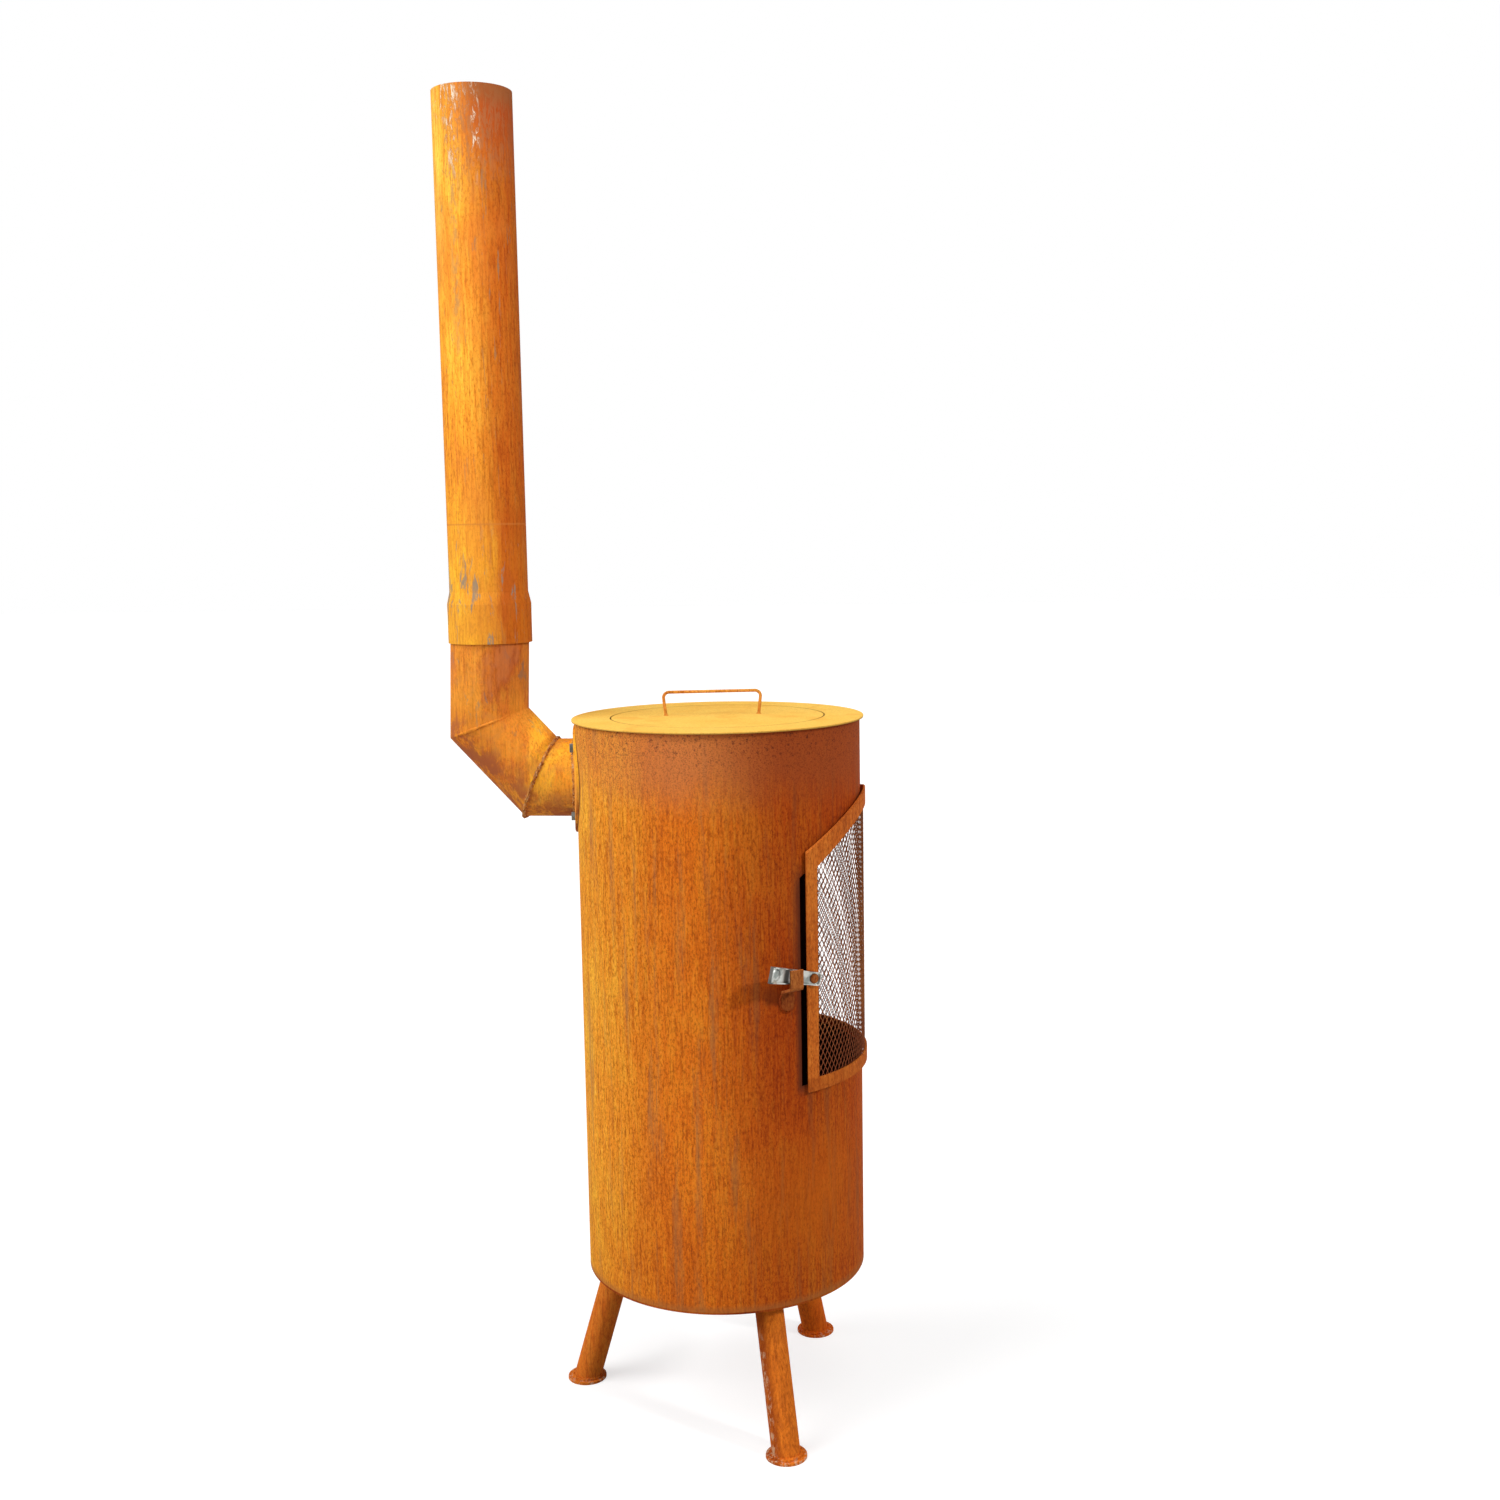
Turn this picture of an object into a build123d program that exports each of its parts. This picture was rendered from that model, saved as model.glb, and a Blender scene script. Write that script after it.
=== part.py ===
from build123d import *
import os
from math import asin, atan2, cos, degrees, radians, sin, sqrt, tan

os.makedirs("parts", exist_ok=True)

# A garden fireplace of weathering steel: a rolled drum on three splayed legs, with a curved
# mesh door, a lift-off lid in its cooking top, and a flue that leaves the back of the drum
# and turns up into a socketed chimney pipe.
# Millimetres. The origin is on the ground under the drum's axis, Z is up, and the flue leaves
# along +Y. The door looks along -Y, turned a little toward its hinges on the +X side. The latch
# is on the -X side. Angles round the drum count from -Y toward the latch.

# Drum
drum_radius = 225.0
drum_wall = 2.0
drum_height = 887.0
base_thick = 3.0

# Cooking top, lid and lid handle
top_overhang = 6.0
top_ring_width = 61.0
top_thick = 3.0
lid_gap = 1.5
seat_lap = 10.5
seat_weld_lap = 9.0
seat_thick = 3.0
handle_bar = 5.0
handle_span = 148.0
handle_splay = 4.5
handle_height = 37.5
handle_corner = 9.0
handle_turn = 10.6
handle_shift_x = 15.0
handle_shift_y = 10.0

# Legs and feet
leg_height = 229.0
leg_radius = 22.25
leg_wall = 2.5
leg_inset = 49.0
leg_spread = 67.0
leg_turn = 2.0
leg_angles = {"rear": 180.0 + leg_turn, "left": 60.0 + leg_turn, "right": -60.0 + leg_turn}
foot_radius = 32.0
foot_thick = 4.0

# Door opening and door, with one round arch centre for both
door_turn = -4.0
arch_height = 505.0
opening_sill = 346.0
opening_arch = 245.5
latch_side_gap = 1.9
hinge_side_gap = 0.1
door_half_angle = 53.0
door_sill = 336.5
door_arch = 273.0
door_standoff = 5.0
door_sheet = 3.0
side_rail = 20.0
bottom_rail = 20.0
top_rail = 25.5

# Expanded mesh in the door
mesh_sheet = 1.5
mesh_lap = 5.0
mesh_pitch_across = 23.0
mesh_pitch_up = 38.0
mesh_strand = 3.2
mesh_edge = 1.2

# Bullet hinges
hinge_radius = 7.5
hinge_half_length = 32.0
hinge_pin_radius = 4.0
hinge_pin_clearance = 0.06
hinge_end_wall = 5.0
hinge_round = 2.5
hinge_washer = 2.0
hinge_gap = 0.3
hinge_heights = (395.0, 615.0)

# Latch lever on its rivet
latch_angle = 46.9
latch_height = 513.5
lever_rise = 14.5
lever_length = 98.0
lever_tail = 10.0
lever_crank = 12.0
lever_splay = 10.0
lever_pivot_width = 20.0
lever_grip_width = 25.0
lever_sheet = 1.5
lever_rim = 6.0
lever_gap = 0.3
grip_corner = 5.0
thumb_radius = 18.0
thumb_height = 2.6
thumb_from_end = 14.0
rivet_radius = 3.0
rivet_clearance = 0.08
rivet_head_radius = 7.6
rivet_head_height = 3.4
rivet_head_round = 0.9
rivet_tail_radius = 4.5
rivet_tail_height = 1.2
spacer_radius = 7.0
spacer_thick = 1.9

# Hook that catches the lever
hook_reach = 45.0
hook_width = 21.0
hook_bar = 4.0
hook_clearance = 0.6
hook_upstand = 28.5
hook_bridge_rise = 11.0
hook_leg = 29.0
hook_bend = 5.0

# Flue, elbow and chimney
flue_radius = 62.4
flue_wall = 2.0
flue_drop = 95.5
stub_length = 62.0
elbow_run = 83.0
riser_rise = 88.5
riser_lean = 2.2
flange_radius = 88.0
flange_thick = 4.0
bolt_spread = 54.0
bolt_radius = 4.0
bolt_clearance = 0.5
bolt_head_across = 13.0
bolt_head_height = 5.5
nut_height = 6.5
bolt_reach = 12.0
chimney_radius = 62.2
chimney_wall = 1.5
chimney_rise = 130.0
chimney_height = 846.0
socket_radius = 66.5
socket_depth = 62.0
socket_taper = 19.0
socket_gap = 0.35

# Fire grate, the shelf ring under it and the lugs that carry the shelf
grate_clearance = 8.0
grate_thick = 9.0
grate_rim = 14.0
grate_rib = 14.0
grate_slot = 12.0
grate_pitch = 24.0
shelf_height = 55.0
shelf_thick = 3.0
shelf_lap = 12.0
lug_width = 26.0
lug_depth = 26.0
lug_leg = 22.0
lug_thick = 3.0
lug_angles = (0.0, 120.0, 240.0)

# Small gap between pieces that are welded together along a curved face
weld_gap = 0.3

# Heights and radii that follow from the sizes above
drum_bottom = leg_height + base_thick
drum_top = drum_bottom + drum_height
drum_bore = drum_radius - drum_wall
top_radius = drum_radius + top_overhang
lid_hole_radius = top_radius - top_ring_width
lid_radius = lid_hole_radius - lid_gap
seat_bore = lid_radius - seat_lap
leg_ring_top = drum_radius - leg_inset
leg_ring_foot = leg_ring_top + leg_spread
arch_z = leg_height + arch_height
opening_z = leg_height + opening_sill
door_z = leg_height + door_sill
door_inner = drum_radius + door_standoff
door_outer = door_inner + door_sheet
door_low_angle = door_turn - door_half_angle
door_high_angle = door_turn + door_half_angle
rail_angle = degrees(side_rail / door_outer)
window_arch = door_arch - top_rail
flue_z = drum_top - flue_drop
flue_bore = flue_radius - flue_wall
stub_reach = drum_radius + stub_length
riser_reach = stub_reach + elbow_run
riser_z = flue_z + riser_rise
chimney_base = riser_z + chimney_rise
flange_inner = drum_radius + weld_gap
flange_outer = flange_inner + flange_thick
latch_z = leg_height + latch_height
lever_base = spacer_thick + lever_gap
shelf_z = drum_bottom + shelf_height
grate_radius = seat_bore - grate_clearance


def outward(angle):
    """Level unit direction away from the drum's axis."""
    return Vector(-sin(radians(angle)), -cos(radians(angle)), 0)


def wall_plane(angle, radius, height):
    """Plane square to the drum's radius: its X is level toward the hinges, its Y is up."""
    out = outward(angle)
    return Plane(origin=out * radius + Vector(0, 0, height), x_dir=Vector(0, 0, 1).cross(out), z_dir=out)


def side_plane(angle):
    """Upright plane through the drum's axis: its X runs outward along the radius, its Y is up."""
    out = outward(angle)
    return Plane(origin=(0, 0, 0), x_dir=out, z_dir=out.cross(Vector(0, 0, 1)))


def arched_slab(inner, outer, low_angle, high_angle, sill, arch_radius):
    """Curved slab from a level sill up to the arch, cut square to the drum at both sides."""
    top = arch_z + arch_radius
    with BuildPart() as slab:
        with BuildSketch(Plane.XY.offset(sill)):
            with BuildLine():
                far = CenterArc((0, 0), outer, -90 - high_angle, high_angle - low_angle)
                near = CenterArc((0, 0), inner, -90 - high_angle, high_angle - low_angle)
                Line(far @ 0, near @ 0)
                Line(far @ 1, near @ 1)
            make_face()
        extrude(amount=top - sill)
        with BuildSketch(wall_plane(door_turn, 0, 0)):
            with Locations((0, arch_z)):
                Circle(arch_radius)
            with Locations((0, (arch_z + sill) / 2)):
                Rectangle(2 * arch_radius, arch_z - sill)
        extrude(amount=outer, mode=Mode.INTERSECT)
    return slab.part


# Drum shell: a rolled tube with the arched door opening, the flue hole and the bolt holes
bolt_side_angle = degrees(asin(bolt_spread / flange_outer))
bolt_angles = (180 - bolt_side_angle, 180 + bolt_side_angle)
bolt_heights = (flue_z - bolt_spread, flue_z + bolt_spread)
bolt_planes = [wall_plane(a, flange_outer, h) for a in bolt_angles for h in bolt_heights]
flue_plane = Plane(origin=(0, 0, flue_z), x_dir=(1, 0, 0), z_dir=(0, 1, 0))
opening_cut = arched_slab(
    drum_bore - drum_wall,
    drum_radius + drum_wall,
    door_low_angle - hinge_side_gap,
    door_high_angle + latch_side_gap,
    opening_z,
    opening_arch,
)

with BuildPart() as drum_shell:
    with BuildSketch(Plane.XY.offset(drum_bottom)):
        Circle(drum_radius)
        Circle(drum_bore, mode=Mode.SUBTRACT)
    extrude(amount=drum_height)
    add(opening_cut, mode=Mode.SUBTRACT)
    with BuildSketch(flue_plane):
        Circle(flue_bore)
    extrude(amount=flange_outer, mode=Mode.SUBTRACT)
    with BuildSketch(*bolt_planes):
        Circle(bolt_radius + bolt_clearance)
    extrude(amount=-(flange_thick + drum_wall + bolt_reach), mode=Mode.SUBTRACT)
drum_shell.part.label = "drum_shell"
export_step(drum_shell.part, "parts/drum_shell.step")

# Base plate under the drum
with BuildPart() as base_plate:
    with BuildSketch(Plane.XY.offset(leg_height)):
        Circle(drum_radius)
    extrude(amount=base_thick)
base_plate.part.label = "base_plate"
export_step(base_plate.part, "parts/base_plate.step")

# Cooking top: a flat ring over the drum, with the lid's hole
with BuildPart() as top_plate:
    with BuildSketch(Plane.XY.offset(drum_top)):
        Circle(top_radius)
        Circle(lid_hole_radius, mode=Mode.SUBTRACT)
    extrude(amount=top_thick)
    fillet(top_plate.edges().filter_by(GeomType.CIRCLE).sort_by(SortBy.RADIUS)[-2:], top_thick / 4)
top_plate.part.label = "top_plate"
export_step(top_plate.part, "parts/top_plate.step")

# Seat ring welded under the cooking top, which carries the lid
with BuildPart() as lid_seat:
    with BuildSketch(Plane.XY.offset(drum_top - seat_thick)):
        Circle(lid_hole_radius + seat_weld_lap)
        Circle(seat_bore, mode=Mode.SUBTRACT)
    extrude(amount=seat_thick)
lid_seat.part.label = "lid_seat"
export_step(lid_seat.part, "parts/lid_seat.step")

# Lid: a loose disc level with the cooking top
with BuildPart() as lid_plate:
    with BuildSketch(Plane.XY.offset(drum_top)):
        Circle(lid_radius)
    extrude(amount=top_thick)
    fillet(lid_plate.edges().group_by(Axis.Z)[-1], top_thick / 4)
lid_plate.part.label = "lid_plate"
export_step(lid_plate.part, "parts/lid_plate.step")

# Lid handle: a bent round bar standing on the lid
lid_top = drum_top + top_thick
handle_centre = (handle_shift_x, handle_shift_y, lid_top)
handle_plane = Plane(origin=handle_centre, x_dir=outward(180 - handle_turn), z_dir=(0, 0, 1))
handle_side = Plane(origin=handle_centre, x_dir=handle_plane.x_dir, z_dir=-handle_plane.y_dir)
with BuildPart() as lid_handle:
    with BuildLine(handle_side):
        FilletPolyline(
            (-handle_span / 2, 0),
            (-handle_span / 2 - handle_splay, handle_height),
            (handle_span / 2 + handle_splay, handle_height),
            (handle_span / 2, 0),
            radius=handle_corner,
        )
    with BuildSketch(handle_plane):
        with Locations((-handle_span / 2, 0)):
            Circle(handle_bar / 2)
    sweep()
    split(bisect_by=Plane.XY.offset(lid_top), keep=Keep.TOP)
lid_handle.part.label = "lid_handle"
export_step(lid_handle.part, "parts/lid_handle.step")

# Three splayed tube legs and their round feet
for place, angle in leg_angles.items():
    foot_point = outward(angle) * leg_ring_foot
    top_point = outward(angle) * leg_ring_top + Vector(0, 0, leg_height)
    slope = top_point - foot_point
    with BuildPart() as leg:
        with BuildSketch(Plane(origin=(foot_point + top_point) * 0.5, z_dir=slope)):
            Circle(leg_radius)
            Circle(leg_radius - leg_wall, mode=Mode.SUBTRACT)
        extrude(amount=slope.length, both=True)
        split(bisect_by=Plane.XY.offset(foot_thick), keep=Keep.TOP)
        split(bisect_by=Plane.XY.offset(leg_height), keep=Keep.BOTTOM)
    leg.part.label = f"leg_{place}"
    export_step(leg.part, f"parts/leg_{place}.step")

    with BuildPart() as foot:
        with BuildSketch():
            with Locations((foot_point.X, foot_point.Y)):
                Circle(foot_radius)
        extrude(amount=foot_thick)
        fillet(foot.edges().group_by(Axis.Z)[-1], foot_thick / 4)
    foot.part.label = f"foot_{place}"
    export_step(foot.part, f"parts/foot_{place}.step")

# Door frame: a curved band round the arched window, with the rivet's hole in its latch side
window_cut = arched_slab(
    door_inner - mesh_sheet,
    door_outer + mesh_sheet,
    door_low_angle + rail_angle,
    door_high_angle - rail_angle,
    door_z + bottom_rail,
    window_arch,
)
door_blank = arched_slab(door_inner, door_outer, door_low_angle, door_high_angle, door_z, door_arch)
with BuildPart() as door_frame:
    add(door_blank)
    add(window_cut, mode=Mode.SUBTRACT)
    with BuildSketch(wall_plane(latch_angle, door_outer, latch_z)):
        Circle(rivet_radius + rivet_clearance)
    extrude(amount=2 * door_sheet, both=True, mode=Mode.SUBTRACT)
door_frame.part.label = "door_frame"
export_step(door_frame.part, "parts/door_frame.step")

# Expanded mesh behind the window: a curved sheet with staggered upright diamonds
mesh_outer = door_inner
mesh_inner = mesh_outer - mesh_sheet
mesh_lap_angle = degrees(mesh_lap / mesh_outer)
mesh_half_angle = door_half_angle - rail_angle + mesh_lap_angle
mesh_low_angle = door_turn - mesh_half_angle
mesh_high_angle = door_turn + mesh_half_angle
mesh_z = door_z + bottom_rail - mesh_lap
mesh_arch = window_arch + mesh_lap
mesh_blank = arched_slab(mesh_inner, mesh_outer, mesh_low_angle, mesh_high_angle, mesh_z, mesh_arch)
half_across = mesh_pitch_across / 2
half_up = mesh_pitch_up / 2
edge_distance = half_across * half_up / sqrt(half_across**2 + half_up**2)
diamond_scale = 1 - mesh_strand / 2 / edge_distance
diamond_wide = half_across * diamond_scale
diamond_high = half_up * diamond_scale
column_angle = degrees(half_across / mesh_outer)


def diamond_fits(angle, height):
    """True where a whole diamond keeps its margin to the mesh's border."""
    side = degrees((diamond_wide + mesh_edge) / mesh_outer)
    x = mesh_outer * sin(radians(min(abs(angle) + side, 90)))
    inside_side = abs(angle) + side <= mesh_half_angle
    inside_sill = height - diamond_high >= mesh_z + mesh_edge
    middle_x = mesh_outer * sin(radians(abs(angle)))
    tip_in = sqrt(middle_x**2 + (height + diamond_high - arch_z) ** 2) <= mesh_arch - mesh_edge
    side_in = height <= arch_z or sqrt(x**2 + (height - arch_z) ** 2) <= mesh_arch - mesh_edge
    return inside_side and inside_sill and (tip_in or height + diamond_high <= arch_z) and side_in


column_count = int(mesh_half_angle / column_angle)
row_count = int((arch_z + mesh_arch - mesh_z) / mesh_pitch_up) + 1
with BuildPart() as door_mesh:
    add(mesh_blank)
    for column in range(-column_count, column_count + 1):
        angle = column * column_angle
        first = mesh_z + mesh_lap + half_up * (1 + column % 2) - half_up / 2
        heights = [first + row * mesh_pitch_up for row in range(row_count)]
        heights = [h for h in heights if diamond_fits(angle, h)]
        if heights:
            with BuildSketch(wall_plane(door_turn + angle, mesh_inner, 0)):
                with Locations(*[(0, h) for h in heights]):
                    Polygon((diamond_wide, 0), (0, diamond_high), (-diamond_wide, 0), (0, -diamond_high))
    extrude(amount=4 * mesh_sheet, both=True, mode=Mode.SUBTRACT)
door_mesh.part.label = "door_mesh"
export_step(door_mesh.part, "parts/door_mesh.step")

# Bullet hinges: lower halves with their pins on the drum, upper halves on the door's edge
hinge_axis_radius = drum_radius + weld_gap + hinge_radius
hinge_angle = door_low_angle - degrees(asin((hinge_radius + weld_gap) / hinge_axis_radius))
hinge_axis = outward(hinge_angle) * hinge_axis_radius
hinge_lines = [leg_height + height for height in hinge_heights]
pin_hole = hinge_pin_radius + hinge_pin_clearance
hinge_spots = [(hinge_axis.X, hinge_axis.Y, z) for z in hinge_lines]
upper_start = hinge_washer + hinge_gap
pin_bottom = hinge_half_length - hinge_end_wall
pin_top = upper_start + hinge_half_length - hinge_end_wall

with BuildPart() as hinge_lower_halves:
    with Locations(*hinge_spots):
        Cylinder(hinge_radius, hinge_half_length, align=(Align.CENTER, Align.CENTER, Align.MAX))
    for z in hinge_lines:
        rim = hinge_lower_halves.edges().filter_by(GeomType.CIRCLE)
        fillet(rim.filter_by_position(Axis.Z, z - hinge_half_length - 1, z - hinge_half_length + 1), hinge_round)
    with Locations(*hinge_spots):
        Cylinder(pin_hole, pin_bottom, align=(Align.CENTER, Align.CENTER, Align.MAX), mode=Mode.SUBTRACT)
hinge_lower_halves.part.label = "hinge_lower_halves"
export_step(hinge_lower_halves.part, "parts/hinge_lower_halves.step")

with BuildPart() as hinge_upper_halves:
    upper_spots = [(x, y, z + upper_start) for x, y, z in hinge_spots]
    with Locations(*upper_spots):
        Cylinder(hinge_radius, hinge_half_length, align=(Align.CENTER, Align.CENTER, Align.MIN))
    for z in hinge_lines:
        rim_z = z + upper_start + hinge_half_length
        rim = hinge_upper_halves.edges().filter_by(GeomType.CIRCLE)
        fillet(rim.filter_by_position(Axis.Z, rim_z - 1, rim_z + 1), hinge_round)
    with Locations(*upper_spots):
        Cylinder(
            pin_hole,
            hinge_half_length - hinge_end_wall + hinge_gap,
            align=(Align.CENTER, Align.CENTER, Align.MIN),
            mode=Mode.SUBTRACT,
        )
hinge_upper_halves.part.label = "hinge_upper_halves"
export_step(hinge_upper_halves.part, "parts/hinge_upper_halves.step")

with BuildPart() as hinge_pins:
    with Locations(*[(x, y, z - pin_bottom) for x, y, z in hinge_spots]):
        Cylinder(hinge_pin_radius, pin_bottom + pin_top, align=(Align.CENTER, Align.CENTER, Align.MIN))
hinge_pins.part.label = "hinge_pins"
export_step(hinge_pins.part, "parts/hinge_pins.step")

with BuildPart() as hinge_washers:
    with Locations(*hinge_spots):
        Cylinder(hinge_radius, hinge_washer, align=(Align.CENTER, Align.CENTER, Align.MIN))
        Cylinder(
            pin_hole,
            hinge_washer,
            align=(Align.CENTER, Align.CENTER, Align.MIN),
            mode=Mode.SUBTRACT,
        )
hinge_washers.part.label = "hinge_washers"
export_step(hinge_washers.part, "parts/hinge_washers.step")

# Latch lever: a pressed strip with turned-up rims, cranked away from the drum past its pivot
latch_face = wall_plane(latch_angle, door_outer, latch_z)
lever_along = (latch_face.x_dir * -cos(radians(lever_rise)) + Vector(0, 0, 1) * sin(radians(lever_rise)))
lever_plan = Plane(origin=latch_face.origin, x_dir=lever_along, z_dir=latch_face.z_dir)
lever_side = Plane(origin=latch_face.origin, x_dir=lever_along, z_dir=-lever_plan.y_dir)
lever_splay_rise = (lever_length - lever_crank) * tan(radians(lever_splay))


def lever_block(lift, inset, height):
    """Cranked block along the lever, lifted from its underside and drawn in from its outline."""
    low = lever_base + lift
    tail = -lever_tail + inset
    end = lever_length - inset
    end_rise = lever_splay_rise - inset * tan(radians(lever_splay))
    pivot_half = lever_pivot_width / 2 - inset
    grip_half = lever_grip_width / 2 - inset
    with BuildPart() as block:
        with BuildSketch(lever_side):
            Polygon(
                (tail, low),
                (lever_crank, low),
                (end, low + end_rise),
                (end, low + end_rise + height),
                (lever_crank, low + height),
                (tail, low + height),
                align=None,
            )
        extrude(amount=lever_grip_width, both=True)
        with BuildSketch(lever_plan):
            with BuildLine():
                Polyline(
                    (tail, pivot_half),
                    (lever_crank, pivot_half),
                    (end, grip_half),
                    (end, -grip_half),
                    (lever_crank, -pivot_half),
                    (tail, -pivot_half),
                    close=True,
                )
            outline = make_face()
            fillet(outline.vertices().sort_by(Axis(latch_face.origin, lever_along))[-2:], grip_corner - inset)
        extrude(amount=lever_length, mode=Mode.INTERSECT)
    return block.part


lever_outer = lever_block(0, 0, lever_rim)
lever_pocket = lever_block(lever_sheet, lever_sheet, lever_rim)
thumb_along = lever_length - thumb_from_end
thumb_low = lever_base + lever_sheet + (thumb_along - lever_crank) * tan(radians(lever_splay))
arm_normal = lever_plan.z_dir * cos(radians(lever_splay)) - lever_along * sin(radians(lever_splay))
thumb_spot = latch_face.origin + lever_along * thumb_along + lever_plan.z_dir * thumb_low
arm_floor = Plane(origin=thumb_spot, x_dir=lever_plan.y_dir, z_dir=arm_normal)
with BuildPart() as thumb_boss:
    with Locations(arm_floor.offset(thumb_height - thumb_radius).location):
        Sphere(thumb_radius)
    split(bisect_by=arm_floor.offset(-lever_sheet / 2), keep=Keep.TOP)

with BuildPart() as latch_lever:
    add(lever_outer)
    add(lever_pocket, mode=Mode.SUBTRACT)
    add(thumb_boss.part)
    with BuildSketch(lever_plan):
        Circle(rivet_radius + rivet_clearance)
    extrude(amount=lever_base + lever_rim, mode=Mode.SUBTRACT)
latch_lever.part.label = "latch_lever"
export_step(latch_lever.part, "parts/latch_lever.step")

# Spacer and rivet that hold the lever to the door frame
rivet_axis = Axis(latch_face.origin, latch_face.z_dir)
with BuildPart() as latch_spacer:
    with BuildSketch(lever_plan):
        Circle(spacer_radius)
        Circle(rivet_radius + rivet_clearance, mode=Mode.SUBTRACT)
    extrude(amount=spacer_thick)
latch_spacer.part.label = "latch_spacer"
export_step(latch_spacer.part, "parts/latch_spacer.step")

rivet_head_low = lever_base + lever_sheet + lever_gap
rivet_back = door_sheet + weld_gap
with BuildPart() as latch_rivet:
    with BuildSketch(lever_plan.offset(-rivet_back - rivet_tail_height)):
        Circle(rivet_tail_radius)
    extrude(amount=rivet_tail_height)
    with BuildSketch(lever_plan.offset(-rivet_back)):
        Circle(rivet_radius)
    extrude(amount=rivet_back + rivet_head_low)
    with BuildSketch(lever_plan.offset(rivet_head_low)):
        Circle(rivet_head_radius)
    extrude(amount=rivet_head_height)
    head_rim = latch_rivet.edges().filter_by(GeomType.CIRCLE).sort_by(rivet_axis)[-1]
    fillet(head_rim, rivet_head_height * rivet_head_round)
latch_rivet.part.label = "latch_rivet"
export_step(latch_rivet.part, "parts/latch_rivet.step")

# Hook on the drum: a bent flat bar whose upstand stands in front of the lever
lever_front = door_outer + lever_base + lever_rim
lever_front += (hook_reach - lever_crank) * tan(radians(lever_splay))
hook_turn = atan2(hook_reach, lever_front)
hook_angle = latch_angle + degrees(hook_turn)
crossing = tan(hook_turn + radians(lever_splay))
upstand_inner = sqrt(lever_front**2 + hook_reach**2) + hook_width / 2 * crossing + hook_clearance
near_reach = hook_reach - hook_width / 2
near_half = lever_pivot_width / 2
near_half += (lever_grip_width - lever_pivot_width) / 2 * near_reach / lever_length
lever_low = latch_z + near_reach * tan(radians(lever_rise)) - near_half / cos(radians(lever_rise))
bridge_z = lever_low - hook_clearance - hook_bar / 2
hook_wall = drum_radius + weld_gap + hook_bar / 2
hook_front = upstand_inner + hook_bar / 2
with BuildPart() as latch_hook:
    with BuildLine(side_plane(hook_angle)):
        FilletPolyline(
            (hook_wall, bridge_z - hook_bridge_rise - hook_leg),
            (hook_wall, bridge_z - hook_bridge_rise),
            (hook_front, bridge_z),
            (hook_front, bridge_z + hook_upstand),
            radius=hook_bend,
        )
    hook_start = outward(hook_angle) * hook_wall
    hook_start += Vector(0, 0, bridge_z - hook_bridge_rise - hook_leg)
    with BuildSketch(Plane(origin=hook_start, x_dir=outward(hook_angle), z_dir=(0, 0, 1))):
        Rectangle(hook_bar, hook_width)
    sweep()
    foot_edges = latch_hook.edges().filter_by(lambda e: abs(e.length - hook_bar) < 0.01).sort_by(Axis.Z)
    fillet(foot_edges[:2], hook_width / 2.2)
latch_hook.part.label = "latch_hook"
export_step(latch_hook.part, "parts/latch_hook.step")

# Flue flange: a round saddle on the back of the drum
with BuildPart() as flue_flange:
    with BuildSketch(flue_plane):
        Circle(flange_radius)
        Circle(flue_bore, mode=Mode.SUBTRACT)
    extrude(amount=flange_outer)
    with BuildSketch(Plane.XY.offset(flue_z - flange_radius)):
        Circle(flange_outer)
        Circle(flange_inner, mode=Mode.SUBTRACT)
    extrude(amount=2 * flange_radius, mode=Mode.INTERSECT)
    with BuildSketch(*bolt_planes):
        Circle(bolt_radius + bolt_clearance)
    extrude(amount=-3 * flange_thick, mode=Mode.SUBTRACT)
flue_flange.part.label = "flue_flange"
export_step(flue_flange.part, "parts/flue_flange.step")

# Bolts through the flange and the drum, with their nuts inside
bolt_corner = bolt_head_across / 2 / cos(radians(30))
nut_seat = flange_outer - sqrt(drum_bore**2 - bolt_corner**2) + weld_gap
with BuildPart() as flange_bolts:
    with BuildSketch(*bolt_planes):
        RegularPolygon(bolt_corner, 6)
    extrude(amount=bolt_head_height)
    with BuildSketch(*bolt_planes):
        Circle(bolt_radius)
    extrude(amount=-(nut_seat + bolt_reach))
flange_bolts.part.label = "flange_bolts"
export_step(flange_bolts.part, "parts/flange_bolts.step")

with BuildPart() as flange_nuts:
    with BuildSketch(*[plane.offset(-nut_seat) for plane in bolt_planes]):
        RegularPolygon(bolt_corner, 6)
        Circle(bolt_radius + bolt_clearance / 5, mode=Mode.SUBTRACT)
    extrude(amount=-nut_height)
flange_nuts.part.label = "flange_nuts"
export_step(flange_nuts.part, "parts/flange_nuts.step")

# Elbow in three mitred pieces: level stub, slanted middle, and a riser that leans in a little
middle_angle = degrees(atan2(riser_rise, elbow_run))
low_corner = Vector(0, stub_reach, flue_z)
high_corner = Vector(0, riser_reach, riser_z)


def flue_direction(angle):
    """Direction in the plane of the elbow, counted up from the level stub."""
    return Vector(0, cos(radians(angle)), sin(radians(angle)))


def pipe_plane(origin, angle):
    """Plane square to a piece of the flue that runs at the angle."""
    return Plane(origin=origin, x_dir=(1, 0, 0), z_dir=flue_direction(angle))


riser_angle = 90 + riser_lean
low_mitre = pipe_plane(low_corner, middle_angle / 2)
high_mitre = pipe_plane(high_corner, (middle_angle + riser_angle) / 2)
middle_length = (high_corner - low_corner).length

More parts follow.
